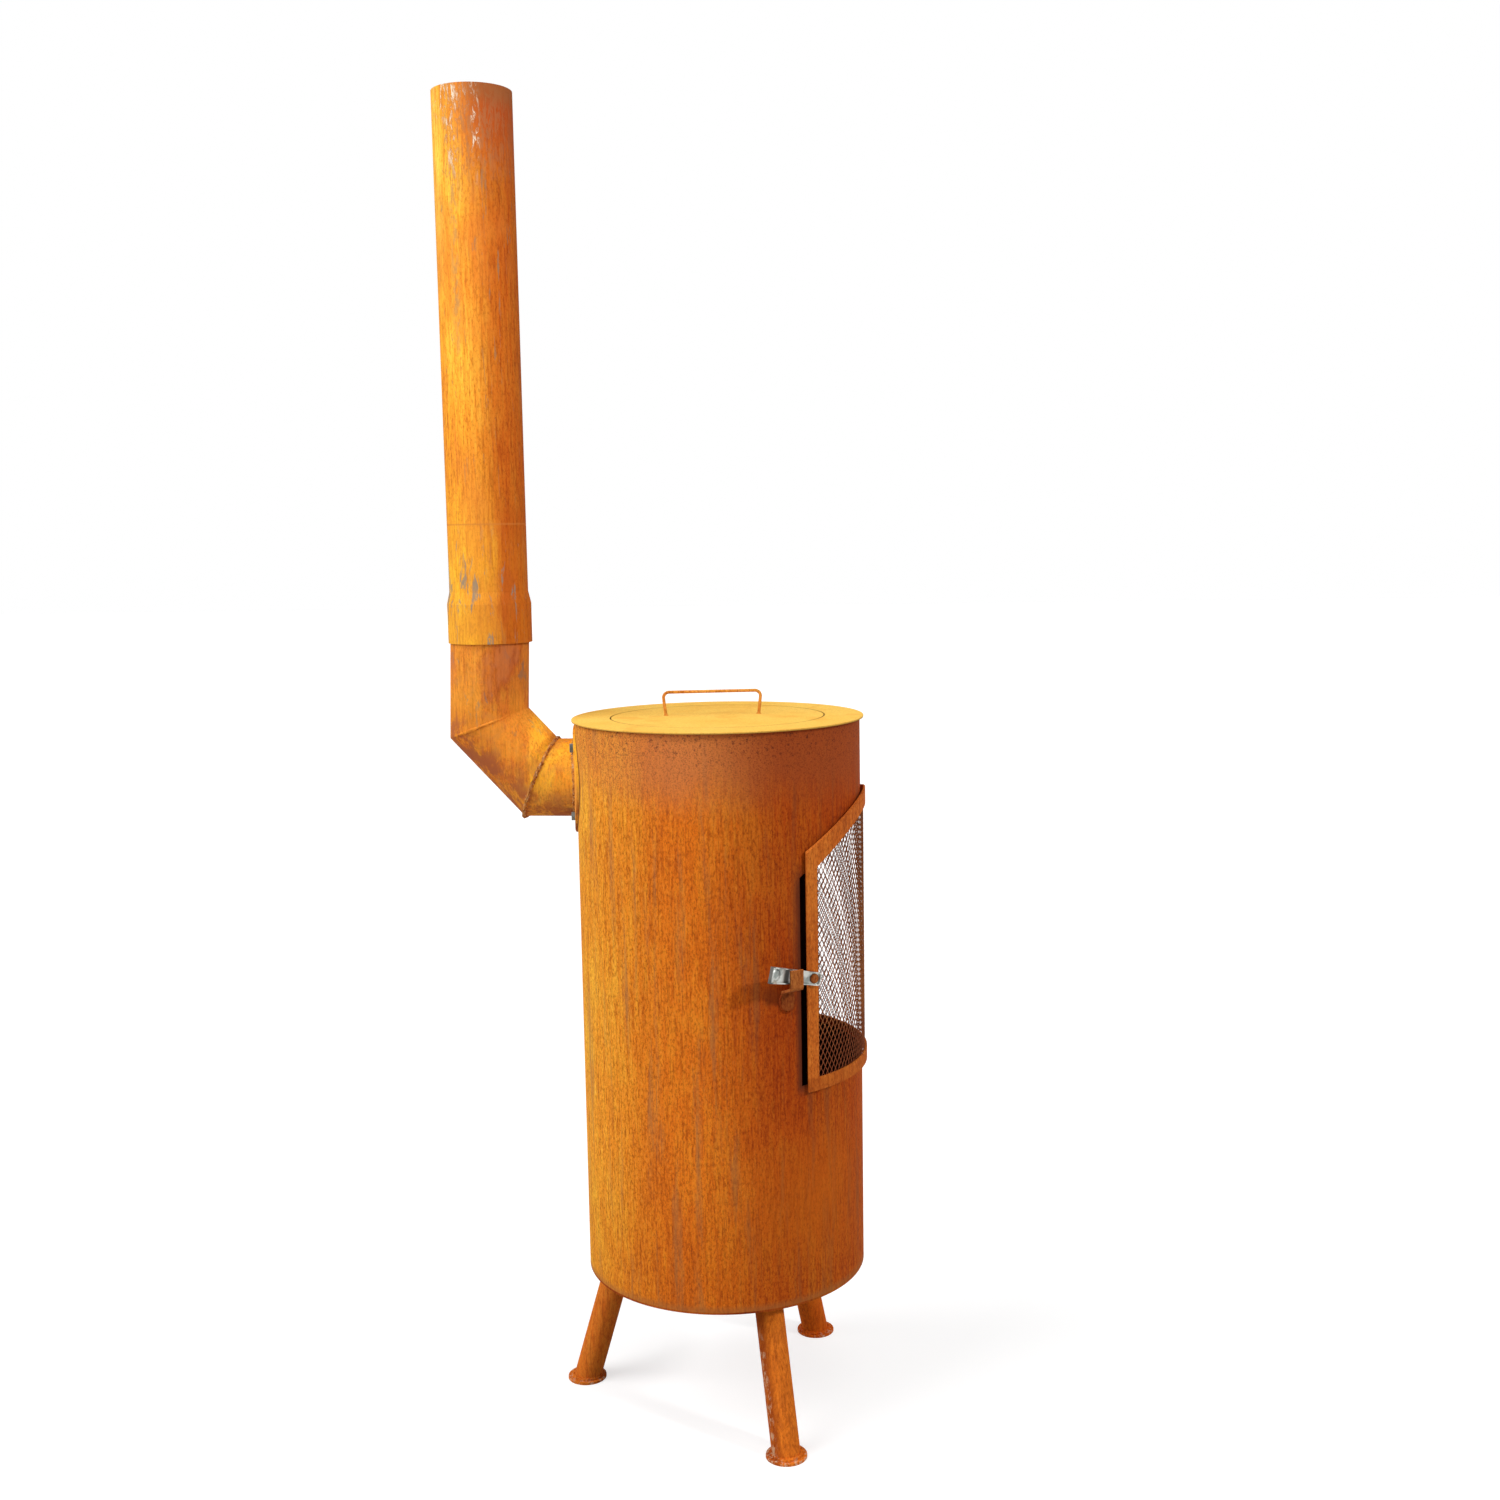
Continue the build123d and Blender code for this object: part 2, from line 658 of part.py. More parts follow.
with BuildPart() as elbow_stub:
    with BuildSketch(flue_plane):
        Circle(flue_radius)
        Circle(flue_bore, mode=Mode.SUBTRACT)
    extrude(amount=stub_reach + flue_radius)
    split(bisect_by=low_mitre, keep=Keep.BOTTOM)
    with BuildSketch(Plane.XY.offset(flue_z - flange_radius)):
        Circle(flange_outer)
    extrude(amount=2 * flange_radius, mode=Mode.SUBTRACT)
elbow_stub.part.label = "elbow_stub"
export_step(elbow_stub.part, "parts/elbow_stub.step")

with BuildPart() as elbow_middle:
    with BuildSketch(pipe_plane(low_corner, middle_angle)):
        Circle(flue_radius)
        Circle(flue_bore, mode=Mode.SUBTRACT)
    extrude(amount=middle_length + flue_radius, both=True)
    split(bisect_by=low_mitre, keep=Keep.TOP)
    split(bisect_by=high_mitre, keep=Keep.BOTTOM)
elbow_middle.part.label = "elbow_middle"
export_step(elbow_middle.part, "parts/elbow_middle.step")

# The chimney stands upright, centred on the riser halfway up its socket, and the riser's
# level top ends just under the place where the swaged shoulder comes down on it
chimney_bore = chimney_radius - chimney_wall
socket_bore = socket_radius - chimney_wall
chimney_reach = riser_reach
chimney_reach -= (chimney_base + socket_depth / 2 - riser_z) * tan(radians(riser_lean))
riser_offset = (socket_depth / 2 + socket_taper) * tan(radians(riser_lean))
shoulder_room = socket_bore - flue_radius - riser_offset - socket_gap
shoulder_rise = socket_taper * shoulder_room / (socket_bore - chimney_bore)
riser_top = chimney_base + socket_depth + shoulder_rise
with BuildPart() as elbow_riser:
    with BuildSketch(pipe_plane(high_corner, riser_angle)):
        Circle(flue_radius)
        Circle(flue_bore, mode=Mode.SUBTRACT)
    extrude(amount=riser_top - riser_z + flue_radius, both=True)
    split(bisect_by=high_mitre, keep=Keep.TOP)
    split(bisect_by=Plane.XY.offset(riser_top), keep=Keep.BOTTOM)
elbow_riser.part.label = "elbow_riser"
export_step(elbow_riser.part, "parts/elbow_riser.step")

# Chimney pipe: swaged out at its foot into a socket that slips over the riser
with BuildPart() as chimney_pipe:
    with BuildSketch(Plane(origin=(0, chimney_reach, chimney_base), x_dir=(1, 0, 0), z_dir=(0, -1, 0))):
        with BuildLine():
            Polyline(
                (socket_bore, 0),
                (socket_radius, 0),
                (socket_radius, socket_depth),
                (chimney_radius, socket_depth + socket_taper),
                (chimney_radius, chimney_height),
                (chimney_bore, chimney_height),
                (chimney_bore, socket_depth + socket_taper),
                (socket_bore, socket_depth),
                close=True,
            )
        make_face()
    revolve(axis=Axis((0, chimney_reach, 0), (0, 0, 1)))
chimney_pipe.part.label = "chimney_pipe"
export_step(chimney_pipe.part, "parts/chimney_pipe.step")

# Shelf ring welded inside the drum, on which the grate lies
with BuildPart() as grate_shelf:
    with BuildSketch(Plane.XY.offset(shelf_z)):
        Circle(drum_bore - weld_gap)
        Circle(grate_radius - shelf_lap, mode=Mode.SUBTRACT)
    extrude(amount=shelf_thick)
grate_shelf.part.label = "grate_shelf"
export_step(grate_shelf.part, "parts/grate_shelf.step")

# Fire grate: a loose cast disc with straight slots on both sides of a middle rib
grate_z = shelf_z + shelf_thick
slot_rows = int((grate_radius - grate_rim - grate_slot) / grate_pitch)
with BuildPart() as fire_grate:
    with BuildSketch(Plane.XY.offset(grate_z)):
        Circle(grate_radius)
        for row in range(-slot_rows, slot_rows + 1):
            y = row * grate_pitch
            reach = sqrt((grate_radius - grate_rim) ** 2 - y**2)
            middle = (reach + grate_rib / 2) / 2
            with Locations((-middle, y), (middle, y)):
                SlotOverall(reach - grate_rib / 2, grate_slot, mode=Mode.SUBTRACT)
    extrude(amount=grate_thick)
fire_grate.part.label = "fire_grate"
export_step(fire_grate.part, "parts/fire_grate.step")

# Lugs on the drum's inside wall that carry the shelf ring
lug_wall = sqrt(drum_bore**2 - (lug_width / 2) ** 2) - weld_gap
with BuildPart() as grate_lugs:
    for angle in lug_angles:
        with BuildSketch(side_plane(angle)):
            with BuildLine():
                Polyline(
                    (lug_wall, shelf_z),
                    (lug_wall, shelf_z - lug_leg),
                    (lug_wall - lug_thick, shelf_z - lug_leg),
                    (lug_wall - lug_thick, shelf_z - lug_thick),
                    (lug_wall - lug_depth, shelf_z - lug_thick),
                    (lug_wall - lug_depth, shelf_z),
                    close=True,
                )
            make_face()
    extrude(amount=lug_width / 2, both=True)
grate_lugs.part.label = "grate_lugs"
export_step(grate_lugs.part, "parts/grate_lugs.step")
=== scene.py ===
import bpy
import bmesh
from math import asin, atan, cos, hypot, pi, radians, sin, sqrt
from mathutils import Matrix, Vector


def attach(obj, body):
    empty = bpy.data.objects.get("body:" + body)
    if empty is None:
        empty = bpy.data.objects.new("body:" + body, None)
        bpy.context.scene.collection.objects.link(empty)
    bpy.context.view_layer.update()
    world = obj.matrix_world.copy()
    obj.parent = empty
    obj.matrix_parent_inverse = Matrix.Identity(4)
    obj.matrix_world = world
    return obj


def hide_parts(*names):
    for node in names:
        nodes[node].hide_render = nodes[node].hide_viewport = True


# A rusted steel garden fireplace: drum on splayed legs, mesh door, lift-off lid, pipe chimney.
# Metres, in the frame of the CAD. The latch side looks along -X, the door along -Y.

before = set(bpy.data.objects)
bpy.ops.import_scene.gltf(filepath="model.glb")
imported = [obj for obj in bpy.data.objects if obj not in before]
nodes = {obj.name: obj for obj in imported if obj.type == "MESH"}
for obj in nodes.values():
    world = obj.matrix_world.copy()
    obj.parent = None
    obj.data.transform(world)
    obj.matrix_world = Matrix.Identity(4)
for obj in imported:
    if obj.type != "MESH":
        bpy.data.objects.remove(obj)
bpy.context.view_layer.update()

# Sizes and places shared with the frame. Angles round the drum are in degrees.
drum_radius = 0.225
drum_half_height = 0.4435
base_height = 0.229
base_thick = 0.003
door_turn = -4.0
door_half_angle = 53
door_rail_angle = 4.92
arch_centre = 0.734
pipe_radius = 0.0624
flue_height = 1.0235
flange_face = 0.2293
stub_end = 0.287
riser_foot = (0, 0.370, 1.112)
middle_slope = 46.84
riser_slope = 92.2
leg_ring_top = 0.176
leg_ring_foot = 0.243
leg_lean = atan((leg_ring_foot - leg_ring_top) / base_height)
leg_angles = {"rear": 182.0, "left": 62.0, "right": -58.0}
lid_top = 1.122
lid_gap_radius = 0.16925
hook_angle = 57.22
rivet_place = (-0.1742, -0.1630, 0.7425)
hinge_heights = (0.624, 0.844)
seam_angle = -128

# Welds: sides of a bead, and the angle under which an edge is shaded smooth
bead_sides = 8
smooth_angle = 40


# ---------------------------------------------------------------- modelling by hand
def deselect():
    """Leaves edit mode and selects nothing."""
    if bpy.context.object and bpy.context.object.mode != "OBJECT":
        bpy.ops.object.mode_set(mode="OBJECT")
    bpy.ops.object.select_all(action="DESELECT")


def newest(name):
    """Names the object that was made last, and its mesh."""
    piece = bpy.context.object
    piece.name = name
    piece.data.name = name
    return piece


def take(piece):
    """Selects this piece alone and makes it the active one."""
    deselect()
    bpy.context.view_layer.objects.active = piece
    piece.select_set(True)


def edit(piece, kind="VERT"):
    """Opens the piece in edit mode, with all of it selected."""
    take(piece)
    bpy.ops.object.mode_set(mode="EDIT")
    bpy.ops.mesh.select_mode(type=kind)
    bpy.ops.mesh.select_all(action="SELECT")


def pick_points(piece, wanted):
    """Selects the points of the piece in edit mode for which wanted(place) is true."""
    shape = bmesh.from_edit_mesh(piece.data)
    bpy.ops.mesh.select_all(action="DESELECT")
    for point in shape.verts:
        if wanted(point.co):
            point.select_set(True)
    shape.select_flush_mode()
    bmesh.update_edit_mesh(piece.data)


def settle(piece):
    """Puts the object's place, turn and size into its mesh."""
    take(piece)
    bpy.ops.object.transform_apply(location=True, rotation=True, scale=True)


def turn(piece, place=(0, 0, 0), angles=(0, 0, 0), size=(1, 1, 1)):
    """Sizes, turns and places the piece, in that order, about the origin."""
    piece.location = place
    piece.rotation_euler = angles
    piece.scale = size
    settle(piece)


def apply_all(piece):
    """Applies every modifier of the piece."""
    take(piece)
    for name in [m.name for m in piece.modifiers]:
        bpy.ops.object.modifier_apply(modifier=name)


def outward(angle):
    """Level direction at an angle round the drum, counted from the door toward the latch."""
    return Vector((-sin(radians(angle)), -cos(radians(angle)), 0))


def roll_round(piece, radius, back=False):
    """Rolls a flat piece, drawn across X and Z, onto a cylinder round the drum's axis."""
    flat_width = piece.dimensions.x
    bend = piece.modifiers.new("roll", "SIMPLE_DEFORM")
    bend.deform_method = "BEND"
    bend.deform_axis = "Z"
    bend.angle = (-1 if back else 1) * flat_width / radius
    apply_all(piece)
    turn(piece, place=(0, radius if back else -radius, 0))


def bead(name, radius, thick, rings, seed, rough, ripple):
    """A hand weld that closes in a ring, level at the origin, with ripples and lumps."""
    deselect()
    bpy.ops.mesh.primitive_torus_add(
        major_segments=rings,
        minor_segments=bead_sides,
        major_radius=radius,
        minor_radius=thick,
    )
    piece = newest(name)
    edit(piece)
    step = 2 * pi / rings

    def on_ripple(p):
        level = asin(max(-1, min(1, p.y / hypot(p.x, p.y))))
        return round((level + pi) / step) % 3 == 0

    pick_points(piece, on_ripple)
    bpy.ops.transform.shrink_fatten(value=ripple)
    bpy.ops.mesh.select_all(action="SELECT")
    bpy.ops.transform.vertex_random(offset=rough, uniform=0.8, normal=0.2, seed=seed)
    deselect()
    return piece


def run_bead(name, length, thick, rings, seed, rough):
    """A straight hand weld along Z, centred at the origin, with closed tapered ends."""
    deselect()
    bpy.ops.mesh.primitive_cylinder_add(
        vertices=bead_sides, radius=thick, depth=length, end_fill_type="NGON"
    )
    piece = newest(name)
    edit(piece, "EDGE")
    shape = bmesh.from_edit_mesh(piece.data)
    bpy.ops.mesh.select_all(action="DESELECT")
    for line in shape.edges:
        if abs(line.verts[0].co.z - line.verts[1].co.z) > length / 2:
            line.select_set(True)
    bmesh.update_edit_mesh(piece.data)
    bpy.ops.mesh.subdivide_edgering(number_cuts=rings, interpolation="LINEAR")
    bpy.ops.mesh.select_mode(type="VERT")
    gap = length / (rings + 1)
    pick_points(piece, lambda p: round((p.z + length / 2) / gap) % 2 == 0)
    bpy.ops.transform.resize(value=(0.82, 0.82, 1))
    pick_points(piece, lambda p: abs(p.z) > length / 2 - gap / 2)
    bpy.ops.transform.resize(value=(0.5, 0.5, 1))
    bpy.ops.mesh.select_all(action="SELECT")
    bpy.ops.transform.vertex_random(offset=rough, uniform=0.8, normal=0.2, seed=seed)
    deselect()
    return piece


def finish_piece(piece, body, skin, stands_for=()):
    """Settles and smooths a piece, and gives it its finish and body."""
    settle(piece)
    bpy.ops.object.shade_smooth_by_angle(angle=radians(smooth_angle))
    piece.data.materials.clear()
    piece.data.materials.append(skin)
    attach(piece, body)
    if stands_for:
        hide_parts(*stands_for)


# ---------------------------------------------------------------- rust, zinc and soot
def node(tree, kind, **values):
    """Adds a node and sets its choices."""
    made = tree.nodes.new(kind)
    for key, value in values.items():
        setattr(made, key, value)
    return made


def noise(tree, place, stretch, scale, detail=6.0, rough=0.6, twist=0.0):
    """Noise on the object's own coordinates, drawn out by the stretch."""
    spread = node(tree, "ShaderNodeMapping")
    spread.inputs["Scale"].default_value = stretch
    tree.links.new(place, spread.inputs["Vector"])
    made = node(tree, "ShaderNodeTexNoise")
    made.inputs["Scale"].default_value = scale
    made.inputs["Detail"].default_value = detail
    made.inputs["Roughness"].default_value = rough
    made.inputs["Distortion"].default_value = twist
    tree.links.new(spread.outputs["Vector"], made.inputs["Vector"])
    return made.outputs["Fac"]


def window(tree, value, low, high, start=0.0, end=1.0):
    """Carries a value from the range low..high to start..end, and stops at both."""
    made = node(tree, "ShaderNodeMapRange", interpolation_type="SMOOTHSTEP")
    made.inputs["From Min"].default_value = low
    made.inputs["From Max"].default_value = high
    made.inputs["To Min"].default_value = start
    made.inputs["To Max"].default_value = end
    tree.links.new(value, made.inputs["Value"])
    return made.outputs["Result"]


def maths(tree, work, a, b=None, c=None):
    """One Math node on numbers or sockets."""
    made = node(tree, "ShaderNodeMath", operation=work)
    for number, value in enumerate((a, b, c)):
        if value is None:
            continue
        if isinstance(value, (int, float)):
            made.inputs[number].default_value = value
        else:
            tree.links.new(value, made.inputs[number])
    return made.outputs["Value"]


def times(tree, a, b):
    return maths(tree, "MULTIPLY", a, b)


def lay(tree, under, over, amount, blend="MIX"):
    """Lays a colour over another, by an amount that is a number or a socket."""
    made = node(tree, "ShaderNodeMix", data_type="RGBA", blend_type=blend)
    made.clamp_result = True
    for name, value in (("A", under), ("B", over)):
        socket = [s for s in made.inputs if s.name == name and s.type == "RGBA"][0]
        if isinstance(value, tuple):
            socket.default_value = (*value, 1.0)
        else:
            tree.links.new(value, socket)
    if isinstance(amount, (int, float)):
        made.inputs["Factor"].default_value = amount
    else:
        tree.links.new(amount, made.inputs["Factor"])
    return [s for s in made.outputs if s.type == "RGBA"][0]


def shade(tree, under, tint, amount):
    """Multiplies a colour by a tint, by an amount."""
    return lay(tree, under, tint, amount, "MULTIPLY")


def axes_of(tree, place):
    """The place's X, Y and Z, each as a socket."""
    split = node(tree, "ShaderNodeSeparateXYZ")
    tree.links.new(place, split.inputs["Vector"])
    return split.outputs["X"], split.outputs["Y"], split.outputs["Z"]


def distance(tree, place, spot):
    gap = node(tree, "ShaderNodeVectorMath", operation="DISTANCE")
    gap.inputs[1].default_value = spot
    tree.links.new(place, gap.inputs[0])
    return gap.outputs["Value"]


def near(tree, place, spot, inner, outer):
    """1 close to a spot, fading to 0 at the outer distance."""
    return window(tree, distance(tree, place, spot), inner, outer, 1.0, 0.0)


def flatten(tree, place, kept):
    """The place with an axis left out, for a pattern that runs along that axis."""
    flat = node(tree, "ShaderNodeMapping")
    flat.inputs["Scale"].default_value = kept
    tree.links.new(place, flat.inputs["Vector"])
    return flat.outputs["Vector"]


def from_axis(tree, place):
    """Distance from the drum's axis."""
    reach = node(tree, "ShaderNodeVectorMath", operation="LENGTH")
    tree.links.new(flatten(tree, place, (1, 1, 0)), reach.inputs[0])
    return reach.outputs["Value"]


def new_skin(name):
    """A new material, with its tree, its surface and the object coordinates."""
    skin = bpy.data.materials.new(name)
    skin.use_nodes = True
    tree = skin.node_tree
    place = node(tree, "ShaderNodeTexCoord").outputs["Object"]
    return skin, tree, tree.nodes["Principled BSDF"], place


def rust(name, ochre, orange, brown, ochre_share, streak, grain=1.0):
    """Rusted steel: three tones in upright streaks, with mottling, grain and small pits.
    Returns the material, its tree, the object coordinates, the colour and the bump height."""
    skin, tree, surface, place = new_skin(name)
    broad = noise(tree, place, (1, 1, 0.5), 6.0, 5.0, 0.6, 0.4)
    runs = noise(tree, place, (1, 1, 0.075), 140.0, 6.0, 0.65)
    fine_runs = noise(tree, place, (1, 1, 0.07), 300.0, 5.0, 0.7)
    mottle = noise(tree, place, (1, 1, 0.20), 210.0, 6.0, 0.72, 0.2)
    dust = noise(tree, place, (1, 1, 0.5), 320.0, 5.0, 0.75)
    runs_share, broad_share, mottle_share = 0.42 * streak, 0.60, 0.32
    tone = maths(tree, "MULTIPLY_ADD", runs, runs_share, times(tree, broad, broad_share))
    tone = maths(tree, "MULTIPLY_ADD", mottle, mottle_share, tone)
    middle = (runs_share + broad_share + mottle_share) / 2
    shift = 0.12 * (0.5 - ochre_share)
    ochre_mask = window(tree, tone, middle - 0.08 + shift, middle + 0.16)
    colour = lay(tree, orange, ochre, ochre_mask)
    brown_mask = window(tree, tone, middle - 0.03, middle - 0.22, 0.0, 0.85)
    colour = lay(tree, colour, brown, brown_mask)
    dark_runs = times(tree, window(tree, fine_runs, 0.54, 0.34), 0.62 * streak)
    colour = shade(tree, colour, (0.52, 0.34, 0.28), dark_runs)
    dark_dust = times(tree, window(tree, dust, 0.53, 0.36), 0.75 * grain)
    colour = shade(tree, colour, (0.46, 0.30, 0.26), dark_dust)
    bright_dust = times(tree, window(tree, dust, 0.54, 0.72), 0.30 * grain)
    colour = lay(tree, colour, (1.0, 0.48, 0.09), bright_dust)
    surface.inputs["Roughness"].default_value = 0.86
    surface.inputs["Specular IOR Level"].default_value = 0.12
    lift = maths(tree, "MULTIPLY_ADD", dust, 0.6, times(tree, mottle, 1.0))
    return skin, tree, place, colour, lift


def close_skin(skin, tree, colour, lift, strength, depth):
    """Links the colour and the bump to the material's surface."""
    surface = tree.nodes["Principled BSDF"]
    tree.links.new(colour, surface.inputs["Base Color"])
    bump = node(tree, "ShaderNodeBump")
    bump.inputs["Strength"].default_value = strength
    bump.inputs["Distance"].default_value = depth
    tree.links.new(lift, bump.inputs["Height"])
    tree.links.new(bump.outputs["Normal"], surface.inputs["Normal"])
    return skin


# Drum: yellower toward the flue and redder toward the door, partly in its rust and partly as
# painted light and shade; pitted under the cooking top, sooty inside
skin, tree, place, colour, lift = rust(
    "drum_rust",
    ochre=(0.92, 0.30, 0.018),
    orange=(0.82, 0.185, 0.008),
    brown=(0.46, 0.085, 0.010),
    ochre_share=0.46,
    streak=1.0,
)
_, y_at, z_at = axes_of(tree, place)
toward_flue = window(tree, y_at, 0.03, 0.235)
toward_door = window(tree, y_at, 0.030, -0.130)
# painted highlight, with a real ochre shift: the side toward the flue, the lit side, is made
# yellower and brighter
colour = shade(tree, colour, (1.15, 2.10, 3.0), times(tree, toward_flue, 0.75))
# grey skin shows through in upright runs
grey_runs = noise(tree, place, (1, 1, 0.07), 48.0, 6.0, 0.66, 0.3)
grey_mask = times(tree, window(tree, grey_runs, 0.51, 0.68), 0.50)
colour = lay(tree, colour, (0.34, 0.155, 0.060), grey_mask)
# the ring under the cooking top is browner and full of grit and pits
band_edge = maths(tree, "MULTIPLY_ADD", noise(tree, place, (1, 1, 0.6), 14.0, 5.0), 0.08, z_at)
band = window(tree, band_edge, 1.02, 1.11)
band_share = times(tree, band, window(tree, y_at, 0.17, 0.02, 0.42, 0.82))
colour = lay(tree, colour, (0.63, 0.195, 0.054), band_share)
grit = noise(tree, place, (1, 1, 1), 420.0, 4.0, 0.7)
grit_share = maths(tree, "MULTIPLY_ADD", band, 0.45, 0.10)
grit_mask = times(tree, window(tree, grit, 0.50, 0.62), grit_share)
colour = lay(tree, colour, (0.20, 0.055, 0.020), grit_mask)
pits = noise(tree, place, (1, 1, 1), 170.0, 5.0, 0.8)
pit_line = window(tree, z_at, 1.045, 1.10)
pit_share = maths(tree, "MULTIPLY_ADD", pit_line, 0.80, 0.12)
pit_mask = times(tree, window(tree, pits, 0.55, 0.64), pit_share)
colour = lay(tree, colour, (0.12, 0.035, 0.018), pit_mask)
# painted shade with dirt round the hook's foot, and a painted shadow under the lever
stain_and_shadow_brown = (0.30, 0.075, 0.020)
hook_foot_dirt_and_shade = near(tree, place, (-0.1892, -0.1218, 0.712), 0.011, 0.021)
colour = lay(tree, colour, stain_and_shadow_brown, times(tree, hook_foot_dirt_and_shade, 0.75))
lever_painted_shadow = near(tree, place, (-0.2020, -0.0990, 0.722), 0.006, 0.024)
colour = lay(tree, colour, stain_and_shadow_brown, times(tree, lever_painted_shadow, 0.6))
# painted highlight: a pool of brighter orange on the drum below the door's latch side
painted_highlight_spot = near(tree, place, (-0.153, -0.165, 0.40), 0.0, 0.17)
colour = lay(tree, colour, (0.98, 0.30, 0.016), times(tree, painted_highlight_spot, 0.42))
# painted shade, with redder rust: the door side is darker and redder, a little less so low
# down
door_side_painted_shade = times(tree, toward_door, window(tree, z_at, 0.30, 0.62, 0.72, 1.0))
colour = shade(tree, colour, (0.60, 0.37, 0.28), door_side_painted_shade)
colour = shade(tree, colour, (0.88, 0.84, 0.72), window(tree, z_at, 0.50, 0.28))
foot_line = window(tree, z_at, 0.246, 0.233)
colour = lay(tree, colour, (0.35, 0.12, 0.03), times(tree, foot_line, 0.6))
# painted shadow beside the door's opening
upright = flatten(tree, place, (1, 1, 0))
opening_painted_shadow = near(tree, upright, (-0.1746, -0.1419, 0), 0.001, 0.015)
opening_span = times(tree, window(tree, z_at, 0.552, 0.578), window(tree, z_at, 0.93, 0.88))
opening_painted_shadow = times(tree, opening_painted_shadow, opening_span)
colour = lay(tree, colour, (0.11, 0.026, 0.010), times(tree, opening_painted_shadow, 0.9))
# painted contact shadow, with dirt, round the edge of the flue's flange
ring_gap = distance(tree, flatten(tree, place, (1, 0, 1)), (0, 0, flue_height))
flange_shadow_and_dirt = times(tree, window(tree, ring_gap, 0.098, 0.089), toward_flue)
colour = lay(tree, colour, (0.16, 0.045, 0.018), times(tree, flange_shadow_and_dirt, 0.85))
inside = window(tree, from_axis(tree, place), 0.2244, 0.2236)
soot_spread = window(tree, noise(tree, place, (1, 1, 0.6), 9.0, 5.0), 0.35, 0.7, 0.94, 1.0)
colour = lay(tree, colour, (0.032, 0.009, 0.005), times(tree, inside, soot_spread))
lift = maths(tree, "MULTIPLY_ADD", pit_mask, -1.2, lift)
drum_skin = close_skin(skin, tree, colour, lift, strength=0.22, depth=0.0006)

# Cooking top and lid: bright even ochre powder
skin, tree, place, colour, lift = rust(
    "top_rust",
    ochre=(0.93, 0.59, 0.115),
    orange=(0.90, 0.51, 0.080),
    brown=(0.76, 0.34, 0.050),
    ochre_share=0.6,
    streak=0.0,
    grain=0.40,
)
patches = noise(tree, place, (1, 1, 1), 16.0, 6.0, 0.6, 0.5)
patch_mask = times(tree, window(tree, patches, 0.50, 0.68), 0.55)
colour = lay(tree, colour, (0.80, 0.37, 0.05), patch_mask)
# painted shade on the rims of the plate and lid, below their top face
rim_painted_shade = window(tree, axes_of(tree, place)[2], 1.1216, 1.1196)
colour = lay(tree, colour, (0.30, 0.10, 0.025), times(tree, rim_painted_shade, 0.6))
# soot in the gap round the lid
lid_gap = maths(tree, "SUBTRACT", from_axis(tree, place), lid_gap_radius)
lid_gap = maths(tree, "ABSOLUTE", lid_gap)
lid_soot = times(tree, window(tree, lid_gap, 0.0020, 0.0010), 0.5)
colour = lay(tree, colour, (0.12, 0.045, 0.014), lid_soot)
top_skin = close_skin(skin, tree, colour, lift, strength=0.12, depth=0.0004)

# Handle: the same powder, browner and knocked
skin, tree, place, colour, lift = rust(
    "handle_rust",
    ochre=(0.80, 0.38, 0.07),
    orange=(0.62, 0.21, 0.03),
    brown=(0.24, 0.075, 0.02),
    ochre_share=0.35,
    streak=0.4,
)
handle_skin = close_skin(skin, tree, colour, lift, strength=0.3, depth=0.0005)

# Chimney: bright ochre, with bare flakes by its end and grey scale by its socket
skin, tree, place, colour, lift = rust(
    "pipe_rust",
    ochre=(0.96, 0.54, 0.055),
    orange=(0.90, 0.35, 0.024),
    brown=(0.62, 0.17, 0.020),
    ochre_share=0.60,
    streak=1.0,
    grain=0.7,
)
x_at, y_at, z_at = axes_of(tree, place)
shaded = window(tree, z_at, 1.36, 1.52, 0.70, 1.0)
shaded = times(tree, window(tree, y_at, 0.396, 0.316), shaded)
# painted highlight: the foot is made yellower, and brighter on its side toward -X
chimney_foot = window(tree, z_at, 1.52, 1.34)
colour = lay(tree, colour, (1.0, 0.60, 0.055), times(tree, chimney_foot, 0.2))
lit_foot = times(tree, chimney_foot, window(tree, x_at, 0.04, -0.02, 0.3, 1.0))
colour = shade(tree, colour, (1.14, 1.26, 1.0), lit_foot)
colour = shade(tree, colour, (0.54, 0.27, 0.19), shaded)
soft_red = noise(tree, place, (1, 1, 0.5), 9.0, 4.0, 0.5)
soft_red = times(tree, window(tree, soft_red, 0.52, 0.66), 0.45)
colour = lay(tree, colour, (0.60, 0.17, 0.025), soft_red)
# the end is browned by heat; on its side toward the drum the browning is stronger and painted
# shade darkens it
end_band = window(tree, z_at, 1.93, 2.06)
end_shade = times(tree, end_band, window(tree, y_at, 0.385, 0.325))
end_band = times(tree, end_band, window(tree, y_at, 0.415, 0.350, 0.25, 1.0))
colour = lay(tree, colour, (0.62, 0.20, 0.04), times(tree, end_band, 0.55))
colour = shade(tree, colour, (0.74, 0.42, 0.32), end_shade)
# painted highlight along the chimney's lit edge
sunny_edge = times(tree, window(tree, y_at, 0.396, 0.412), window(tree, z_at, 1.72, 1.92))
colour = shade(tree, colour, (1.10, 1.35, 1.8), sunny_edge)
torn = noise(tree, place, (1, 1, 0.28), 150.0, 8.0, 0.78, 0.6)
